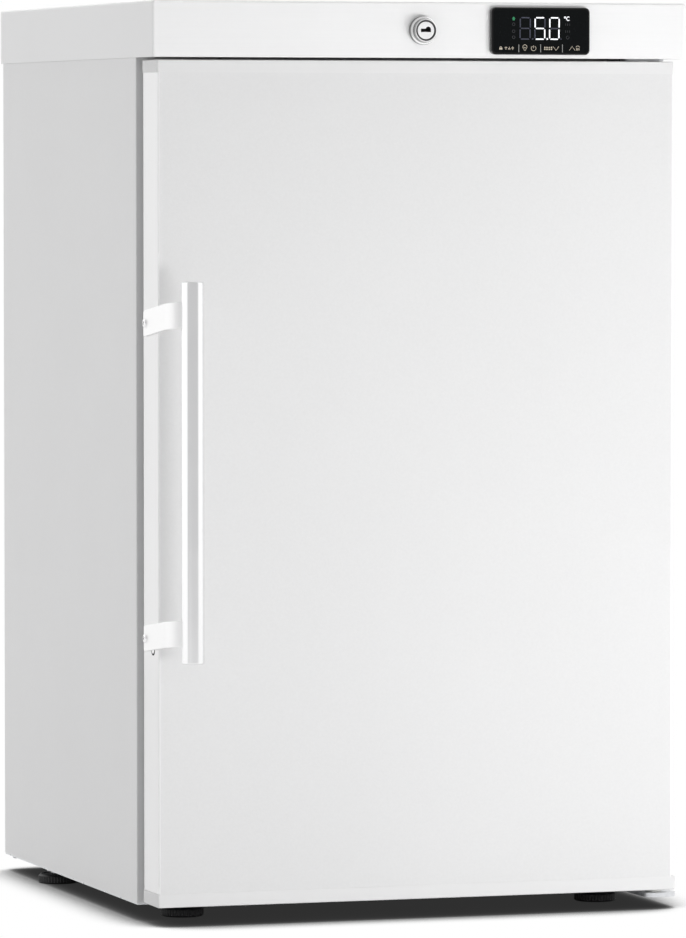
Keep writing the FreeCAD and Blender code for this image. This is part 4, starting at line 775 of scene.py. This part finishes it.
def lock_plug():
    """The plug: a pale face, a barrel round it in a dark finish that is painted shade for the gap and the
    keyhole, and the keyhole cut through both.
    """
    face = -LOCK_PROUD + 0.5 * MM
    centre = lock_face()
    barrel = [(face + 0.25 * MM, GROOVE_INNER), (face + 0.6 * MM, PLUG_RADIUS - 0.3 * MM),
              (face + 1.2 * MM, PLUG_RADIUS - 0.05 * MM), (PLUG_END, PLUG_RADIUS - 0.05 * MM),
              (PLUG_END, SPINDLE_RADIUS), (SPINDLE_END, SPINDLE_RADIUS)]
    cap = [(face, GROOVE_INNER - 0.35 * MM), (face + 0.1 * MM, GROOVE_INNER - 0.1 * MM),
           (face + 0.24 * MM, GROOVE_INNER)]

    slot = Form().block(centre + Vector((-4.3, -10.0, -1.35)) * MM, centre + Vector((4.2, 3.0, 1.35)) * MM)
    bump = Form().turned([(-10.0 * MM, 2.2 * MM), (3.0 * MM, 2.2 * MM)],
                         centre + Vector((2.0, 0.0, 0.85)) * MM, Y, 40)
    for name, profile, finish, replaced in (("lock_plug_barrel", barrel, KEY_SHADOW, ["lock_plug"]),
                                            ("lock_plug_face", cap, PLUG_FACE, [])):
        mesh = carved(Form().turned(profile, centre, Y, 96), [slot, bump], name)
        piece(name, mesh, "lock", "lock_chrome", replaced, finish)


# Controller

PANE_PROUD = 0.05 * MM
DIGIT_HEIGHT = 18.2 * MM
DIGIT_LINE = 1.05 * MM
DIGIT_LEAN = 0.02
DIGIT_LIFT = 2.15 * MM
SEGMENT_GAP = 1.1 * MM
MARK_LINE = 0.36 * MM


def pane_point(x, z):
    """A place on the controller's pane, in millimetres right and up from the pane's middle."""
    centre = middle("controller_window")
    return Vector((centre.x + x * MM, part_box("controller_window")[0].y - PANE_PROUD, centre.z + z * MM))


def mark(form, points, width=MARK_LINE, closed=False):
    """A flat stroke along some points of the pane, its corners mitred."""
    count = len(points)
    sides = []
    for i, point in enumerate(points):
        before = points[i - 1] if i or closed else point
        after = points[(i + 1) % count] if i + 1 < count or closed else point
        ahead = (after - before).normalized()
        across = Vector((-ahead.z, 0.0, ahead.x)) * width / 2
        sides.append((point + across, point - across))
    if closed:
        sides.append(sides[0])
    depth = Y * PANE_PROUD
    rings = [[left, right, right + depth, left + depth] for left, right in sides]
    form.loft(rings, not closed, not closed)


def arc_points(x, z, radius, start, end, steps=14):
    return [pane_point(x + radius * math.cos(math.radians(start + (end - start) * k / steps)),
                       z + radius * math.sin(math.radians(start + (end - start) * k / steps)))
            for k in range(steps + 1)]


def segment(form, centre, along, length):
    """One bar of a digit: a long hexagon with pointed ends."""
    across = Vector((-along.z, 0.0, along.x))
    half = DIGIT_LINE / 2
    reach = length / 2
    outline = [(-reach, 0.0), (-reach + half, half), (reach - half, half), (reach, 0.0),
               (reach - half, -half), (-reach + half, -half)]
    points = [centre + along * u + across * v for u, v in outline]
    form.loft([points, [point + Y * PANE_PROUD for point in points]])


SEGMENTS = {"a": (0, 1, X), "b": (1, 0.5, Z), "c": (1, -0.5, Z), "d": (0, -1, X), "e": (-1, -0.5, Z),
            "f": (-1, 0.5, Z), "g": (0, 0, X)}
DIGIT_BARS = {"5": "afgcd", "0": "abcdef", "8": "abcdefg"}


def digit(lit, dim, x, digit_width, shown):
    """A seven-bar digit, its bars split between the lit and the dim form."""
    wide = (digit_width - DIGIT_LINE) / 2
    tall = (DIGIT_HEIGHT - DIGIT_LINE) / 2
    for name, (right, up, along) in SEGMENTS.items():
        z = up * tall
        centre = pane_point(x, 0) + Vector((right * wide + DIGIT_LEAN * z, 0.0, z + DIGIT_LIFT))
        length = (2 * wide if along is X else tall) - SEGMENT_GAP
        segment(lit if name in DIGIT_BARS.get(shown, "") else dim, centre, along, length)


def dot(form, x, z, radius):
    ring = arc_points(x, z, radius, 0, 345, 23)
    form.loft([ring, [point + Y * PANE_PROUD for point in ring]])


def display():
    """Three digits with their points, and the sign of degrees."""
    lit = Form()
    dim = Form()
    for x, digit_width, shown in ((-13.4, 9.6, ""), (-0.8, 9.4, "5"), (11.5, 9.0, "0")):
        digit(lit, dim, x, digit_width * MM, shown)
    low = (DIGIT_LIFT - DIGIT_HEIGHT / 2) / MM + 0.7
    dot(dim, -7.0, low, 0.65)
    dot(lit, 5.4, low, 0.75)
    dot(dim, 17.1, low, 0.55)
    mark(lit, arc_points(20.6, 11.1, 0.6, 0, 340), 0.5 * MM, True)
    mark(lit, arc_points(23.4, 10.1, 1.45, 50, 310), 0.6 * MM)
    piece("display_lit", lit, "cabinet", "window", finish=LIT)
    piece("display_dim", dim, "cabinet", "window", finish=DIM)


def state_marks():
    """The state lights at the left, of which the upper one is lit, and the faint marks at the right."""
    green = Form()
    x = -23.2
    roof = [pane_point(x + right, 9.9 + up) for right, up in
            ((0.0, 1.6), (1.6, 0.1), (0.9, 0.1), (0.9, -1.3), (-0.9, -1.3), (-0.9, 0.1), (-1.6, 0.1))]
    green.loft([roof, [point + Y * PANE_PROUD for point in roof]])
    piece("display_green", green, "cabinet", "window", finish=GREEN)
    faint = Form()
    for z in (5.4, -0.2, -5.0):
        mark(faint, arc_points(x, z, 1.1, 0, 340), 0.5 * MM, True)
    right = 22.9
    for z in (5.4, -0.2):
        for bar in (right - 1.7, right, right + 1.7):
            mark(faint, [pane_point(bar, z - 0.9), pane_point(bar, z + 0.9)], 0.55 * MM)
    mark(faint, arc_points(right, -5.0, 1.2, 60, 390), 0.5 * MM)
    piece("display_faint", faint, "cabinet", "window", finish=FAINT)


def padlock_mark(ink, x, z):
    body = [pane_point(x - 1.3, z - 1.0), pane_point(x + 1.3, z - 1.0), pane_point(x + 1.3, z + 0.5),
            pane_point(x - 1.3, z + 0.5)]
    ink.loft([body, [point + Y * PANE_PROUD for point in body]])
    mark(ink, arc_points(x, z + 0.6, 0.75, 0, 180, 10))


def bulb_mark(ink, x, z):
    mark(ink, arc_points(x, z + 0.7, 1.75, -60, 240, 20))
    mark(ink, [pane_point(x - 0.8, z - 1.0), pane_point(x - 0.5, z - 2.1), pane_point(x + 0.5, z - 2.1),
               pane_point(x + 0.8, z - 1.0)])
    mark(ink, [pane_point(x - 0.9, z + 0.6), pane_point(x, z - 0.2), pane_point(x + 0.9, z + 0.6)], 0.35 * MM)


def power_mark(ink, x, z):
    mark(ink, arc_points(x, z, 2.0, 118, 422, 24))
    mark(ink, [pane_point(x, z + 2.3), pane_point(x, z + 0.2)])


def drops_mark(ink, x, z):
    mark(ink, arc_points(x, z + 0.6, 1.5, 10, 170, 12))
    for k in range(3):
        mark(ink, [pane_point(x - 1.1 + 1.1 * k, z + 0.3), pane_point(x - 1.1 + 1.1 * k, z - 1.5)], 0.5 * MM)


def sliders_mark(ink, x, z):
    """Three sliders, for the key that sets a value."""
    for k, knob in enumerate((0.5, -0.6, 0.2)):
        right = x - 2.9 + 2.9 * k
        mark(ink, [pane_point(right, z - 1.2), pane_point(right, z + 1.2)], 0.4 * MM)
        mark(ink, [pane_point(right - 0.95, z + knob), pane_point(right + 0.95, z + knob)], 0.8 * MM)


def grid_mark(ink, x, z):
    """Two rows of small squares, for the key that opens the functions."""
    for right in (x - 2.85, x - 0.95, x + 0.95, x + 2.85):
        for up in (z - 0.72, z + 0.72):
            mark(ink, [pane_point(right - 0.55, up), pane_point(right + 0.55, up)], 1.0 * MM)


KEY_ROW = -13.8


def touch_marks():
    """The row of touch keys along the pane's foot, with a rule between each pair."""
    ink = Form()
    rules = Form()
    padlock_mark(ink, -34.1, KEY_ROW - 0.1)
    sliders_mark(ink, -26.9, KEY_ROW)
    for x in (-18.8, -0.2, 18.4):
        mark(rules, [pane_point(x, KEY_ROW - 3.15), pane_point(x, KEY_ROW + 3.15)], 0.5 * MM)
    bulb_mark(ink, -13.6, KEY_ROW + 0.4)
    power_mark(ink, -6.2, KEY_ROW)
    grid_mark(ink, 6.2, KEY_ROW)
    for x, up in ((12.9, -1.6), (26.7, 1.6)):
        mark(ink, [pane_point(x - 2.5, KEY_ROW - up), pane_point(x, KEY_ROW + up),
                   pane_point(x + 2.5, KEY_ROW - up)])
    drops_mark(ink, 31.5, KEY_ROW)
    piece("touch_marks", ink, "cabinet", "window", finish=INK)
    piece("touch_rules", rules, "cabinet", "window", finish=RULE_INK)


# The ringed hole in the door's edge

HOLE_SETBACK = 16.0 * MM
HOLE_HEIGHT = 221.4 * MM


def edge_hole():
    """A ring over the hole, round a pale plug; the ring's very dark colour is painted shade in the hole."""
    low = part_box("door_skin")[0]
    centre = Vector((low.x, low.y + HOLE_SETBACK, HOLE_HEIGHT))
    ring = [(0.0, 3.0 * MM), (0.0, 5.3 * MM), (0.1 * MM, 5.2 * MM), (0.16 * MM, 4.6 * MM),
            (0.12 * MM, 3.6 * MM)]
    # Painted shade: the ring is made nearly black to stand for the shadow round the plug.
    piece("edge_hole_ring", Form().turned(ring, centre, -X, 64), "door", "grommet_rubber", finish=HOLE_SHADE_RING)
    plug = [(0.0, 3.8 * MM), (0.2 * MM, 3.7 * MM), (0.32 * MM, 3.4 * MM), (0.38 * MM, 2.4 * MM)]
    piece("edge_hole_plug", Form().turned(plug, centre, -X, 64), "door", "cap_plastic", finish=STRAP_COAT)


# Levelling feet

FOOT_RADIUS = 17.2 * MM
FOOT_HEIGHT = 8.0 * MM
FOOT_RIBS = 40
RIB_DEPTH = 0.7 * MM
NUT_RADIUS = 7.0 * MM
NUT_TOP = 12.7 * MM
STUD_RADIUS = 4.0 * MM
THREAD_PITCH = 1.25 * MM
THREAD_TURNS = 17


def levelling_foot(node):
    """A ribbed pad with a dished top; its nut and threaded stud are a piece of their own."""
    low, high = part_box(node)
    centre = Vector(((low.x + high.x) / 2, (low.y + high.y) / 2, 0.0))

    def ribs(angle, along):
        inside = 1.3 * MM < along < FOOT_HEIGHT - 2.0 * MM
        return RIB_DEPTH * (0.5 - 0.5 * math.cos(FOOT_RIBS * angle)) if inside else 0.0

    top = FOOT_HEIGHT
    edge = FOOT_RADIUS
    profile = [(0.0, edge - 1.4 * MM), (0.5 * MM, edge - 0.5 * MM), (1.2 * MM, edge - 0.05 * MM),
               (1.5 * MM, edge), (top - 2.2 * MM, edge), (top - 1.9 * MM, edge - 0.1 * MM),
               (top - 1.1 * MM, edge - 0.9 * MM), (top - 0.4 * MM, edge - 2.2 * MM), (top, edge - 3.2 * MM),
               (top - 0.5 * MM, edge - 5.5 * MM), (top - 0.5 * MM, STUD_RADIUS)]
    pad = Form().turned(profile, centre, Z, FOOT_RIBS * 4, ribs)
    piece(node + "_pad", pad, node, "foot_plastic", [node], sharp=ROUND_SHARP)
    stud = Form()
    hexagon = [(7.6 * MM, NUT_RADIUS - 0.6 * MM), (8.2 * MM, NUT_RADIUS), (12.3 * MM, NUT_RADIUS),
               (NUT_TOP, NUT_RADIUS - 0.6 * MM)]
    stud.turned(hexagon, centre, Z, 6)
    thread = []
    for k in range(THREAD_TURNS):
        crest = NUT_TOP + THREAD_PITCH * k
        thread += [(crest, STUD_RADIUS - 0.1 * MM), (crest + 0.6 * MM, STUD_RADIUS - 0.6 * MM)]
    stud.turned(thread, centre, Z, 32)
    piece(node + "_stud", stud, node, "zinc")


# Shelves

RIM_RADIUS = 2.5 * MM
WIRE_RADIUS = 1.3 * MM
CROSS_RADIUS = 2.0 * MM
SHELF_CORNER = 12.0 * MM
SHELF_WIRES = 17
WIRE_OVER = 0.8 * MM
WIRE_END = ((0.0, 0.9 * MM), (1.2 * MM, 0.2 * MM), (3.0 * MM, 0.0))
RIM_FLAT = math.cos(math.pi / 8)


def shelf(node):
    """A coated wire shelf: a bent rim, two cross rods and long wires."""
    low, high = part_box(node)
    half = high.x - RIM_RADIUS
    front = low.y + RIM_RADIUS
    rear = high.y - RIM_RADIUS
    z = low.z + RIM_RADIUS * RIM_FLAT
    form = Form()
    corners = [Vector((x, y, z)) for x, y in ((0, front), (half, front), (half, rear), (-half, rear),
                                               (-half, front), (0, front))]
    form.tube(rounded_path(corners, SHELF_CORNER), RIM_RADIUS)
    centre = (front + rear) / 2
    sixth = (rear - front) / 6
    for y in (centre - sixth, centre + sixth):
        form.tube([Vector((-half, y, z - 0.5 * MM)), Vector((half, y, z - 0.5 * MM))], CROSS_RADIUS)
    reach = half - SHELF_CORNER
    over = high.z - WIRE_RADIUS
    for k in range(SHELF_WIRES):
        x = -reach + 2 * reach * k / (SHELF_WIRES - 1)
        path = [Vector((x, front - WIRE_OVER + run, over - drop)) for run, drop in WIRE_END]
        path += [Vector((x, rear + WIRE_OVER - run, over - drop)) for run, drop in reversed(WIRE_END)]
        form.tube(path, WIRE_RADIUS, 12)
    piece(node + "_wires", form, node, "wire_coat", [node])


# Condenser on the back

CONDENSER_RADIUS = 2.4 * MM
CONDENSER_PASSES = 9
CONDENSER_WIRES = 26
BACK_WIRE_RADIUS = 0.8 * MM


def condenser_tube():
    low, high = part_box("condenser_tube")
    y = (low.y + high.y) / 2
    half = high.x - CONDENSER_RADIUS
    top = high.z - CONDENSER_RADIUS
    pitch = (top - low.z - CONDENSER_RADIUS) / (CONDENSER_PASSES - 1)
    corners = []
    for k in range(CONDENSER_PASSES):
        side = 1 if k % 2 == 0 else -1
        corners += [Vector((side * half, y, top - k * pitch)), Vector((-side * half, y, top - k * pitch))]
    tube = Form().tube(rounded_path(corners, pitch * 0.48, 10), CONDENSER_RADIUS)
    piece("condenser_bent_tube", tube, "cabinet", "condenser_paint", ["condenser_tube"])


def condenser_wires():
    low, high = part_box("condenser_wires")
    form = Form()
    for k in range(CONDENSER_WIRES):
        x = low.x + BACK_WIRE_RADIUS + (high.x - low.x - 2 * BACK_WIRE_RADIUS) * k / (CONDENSER_WIRES - 1)
        for y in (low.y + BACK_WIRE_RADIUS, high.y - BACK_WIRE_RADIUS):
            form.tube([Vector((x, y, low.z)), Vector((x, y, high.z))], BACK_WIRE_RADIUS, 10)
    piece("condenser_wire_mat", form, "cabinet", "condenser_paint", ["condenser_wires"])


# Studio

def camera():
    data = bpy.data.cameras.new("photo_camera")
    data.lens = CAMERA_LENS
    data.sensor_width = 36.0
    data.clip_end = 60.0
    made = bpy.data.objects.new("photo_camera", data)
    made.location = CAMERA_PLACE
    made.rotation_euler = (math.pi / 2 + CAMERA_PITCH, 0.0, -CAMERA_YAW)
    bpy.context.scene.collection.objects.link(made)
    bpy.context.scene.camera = made


def lamp(name, place, target, size, power):
    """A soft panel that faces a point of the refrigerator; polished pieces see the tent in its place."""
    data = bpy.data.lights.new(name, "AREA")
    data.shape = "RECTANGLE"
    data.size, data.size_y = size
    data.energy = power
    made = bpy.data.objects.new(name, data)
    made.location = place
    made.rotation_mode = "QUATERNION"
    made.rotation_quaternion = (Vector(target) - Vector(place)).to_track_quat("-Z", "Y")
    made.visible_camera = False
    made.visible_glossy = False
    bpy.context.scene.collection.objects.link(made)


AMBIENT = 0.45
TENT_WHITE = (1.15, 1.15, 1.15, 1.0)
TENT_OPENING = (0.62, 0.62, 0.625, 1.0)
TENT_BACK = (0.82, 0.82, 0.82, 1.0)
OPENING_WAY = Vector((-math.sin(CAMERA_YAW), -math.cos(CAMERA_YAW), 0.0))
OPENING_RIGHT = Vector((math.cos(CAMERA_YAW), -math.sin(CAMERA_YAW), 0.0))


def tent(shader):
    """What polished metal sees: a white tent, dimmer at its front opening and its back right corner."""
    x, y = shader.axes(shader.node("TexCoord", {}, {}, "Generated"))[:2]
    level = (x * x + y * y) ** 0.5
    front = (x * OPENING_WAY.x + y * OPENING_WAY.y) / level
    right = (x * OPENING_RIGHT.x + y * OPENING_RIGHT.y) / level
    opening = shader.range(front, 0.50, 0.62)
    corner = shader.range(front, -0.30, -0.45) * shader.range(right, 0.0, 0.15)
    return shader.mixed(opening, shader.mixed(corner, TENT_WHITE, TENT_BACK), TENT_OPENING)


def rays(shader, *kinds):
    """1 for rays of any of these kinds."""
    outputs = shader.node("LightPath", {}, {}).socket.node.outputs
    share = Wire(shader, outputs[kinds[0]])
    for kind in kinds[1:]:
        share = share.maths("MAXIMUM", share, Wire(shader, outputs[kind]))
    return share


def world():
    made = bpy.data.worlds.new("studio")
    bpy.context.scene.world = made
    made.use_nodes = True
    shader = Shader(made.node_tree)
    ambient = shader.node("Background", {}, {"Color": colour(252), "Strength": AMBIENT})
    reflected = shader.node("Background", {}, {"Color": tent(shader), "Strength": 1.0})
    backdrop = shader.node("Background", {}, {"Color": (1.0, 1.0, 1.0, 1.0), "Strength": 1.0})
    unseen = shader.node("MixShader", {}, {0: rays(shader, "Is Glossy Ray"), 1: ambient, 2: reflected})
    seen = rays(shader, "Is Camera Ray", "Is Transmission Ray")
    both = shader.node("MixShader", {}, {0: seen, 1: unseen, 2: backdrop})
    output = made.node_tree.nodes["World Output"]
    made.node_tree.links.new(both.socket, output.inputs["Surface"])


FLOOR_REACH = 2.4
SHADOW_REACH = 80 * MM
SHADOW_STOPS = ((0.0, 46), (0.18, 53), (0.40, 84), (0.54, 148), (0.61, 200), (0.69, 240), (0.76, 255))


def floor():
    """A plain pale floor. The camera and reflections see it white, with the shadow under the cabinet."""
    mesh = bpy.data.meshes.new("studio_floor")
    corners = [(-1, -1), (1, -1), (1, 1), (-1, 1)]
    mesh.from_pydata([(x * FLOOR_REACH, y * FLOOR_REACH, 0) for x, y in corners], [], [(0, 1, 2, 3)])
    made = bpy.data.objects.new("studio_floor", mesh)
    bpy.context.scene.collection.objects.link(made)
    material = bpy.data.materials.new("studio_floor")
    material.use_nodes = True
    material.node_tree.nodes.clear()
    shader = Shader(material.node_tree)
    grain = shader.noise(shader.place(), 3.0)
    shade = shader.mixed(grain, colour(236, 236, 237), colour(240, 240, 241))
    plain = shader.node("BsdfDiffuse", {}, {"Color": shade})
    open_share = shader.node("AmbientOcclusion", {"samples": 24}, {"Distance": SHADOW_REACH}, "AO")
    stops = [(place, colour(level)) for place, level in SHADOW_STOPS]
    shadow = shader.node("ValToRGB", {"stops": stops}, {0: open_share})
    shaded = shader.node("Emission", {}, {"Color": shadow})
    seen = rays(shader, "Is Camera Ray", "Is Glossy Ray", "Is Transmission Ray")
    both = shader.node("MixShader", {}, {0: seen, 1: plain, 2: shaded})
    output = material.node_tree.nodes.new("ShaderNodeOutputMaterial")
    material.node_tree.links.new(both.socket, output.inputs["Surface"])
    mesh.materials.append(material)


def studio():
    camera()
    world()
    floor()
    lamp("front_low_panel", (0.75, -1.5, 0.16), (0.0, -0.2, 0.35), (1.3, 0.3), 13.4)
    lamp("front_level_panel", (-0.05, -1.6, 0.69), (0.0, -0.2, 0.69), (1.0, 0.2), 1.1)
    lamp("left_back_panel", (-3.0, 0.2, 1.1), (-0.2, 0.0, 0.35), (1.6, 1.6), 14.0)
    lamp("right_back_panel", (3.0, 1.0, 1.2), (0.2, 0.0, 0.35), (1.6, 1.6), 19.0)
    lamp("top_panel", (0.0, 0.45, 2.4), (0.0, 0.45, 0.0), (1.2, 0.8), 14.0)
    bpy.context.scene.view_settings.view_transform = "Standard"


dress_nodes()
handle_bar()
handle_straps()
screws("handle_screws", "door", "handle_screw_heads", "handle_coat")
screws("cabinet_screws", "cabinet", "cabinet_screw_heads", "screw_steel")
lock_housing()
lock_plug()
display()
state_marks()
touch_marks()
for place in ("front_left", "front_right", "rear_left", "rear_right"):
    levelling_foot("foot_" + place)
for level in (1, 2, 3):
    shelf("shelf_" + str(level))
condenser_tube()
condenser_wires()
edge_hole()
for node, slot in (("compressor_shell", "pot_paint"), ("compressor_grommets", "grommet_rubber"),
                   ("refrigerant_lines", "copper"), ("filter_drier", "copper"),
                   ("drain_tube", "grey_plastic"), ("evaporator_coil", "aluminium"),
                   ("fan_motor", "grey_plastic")):
    smoothed(node, slot)
studio()
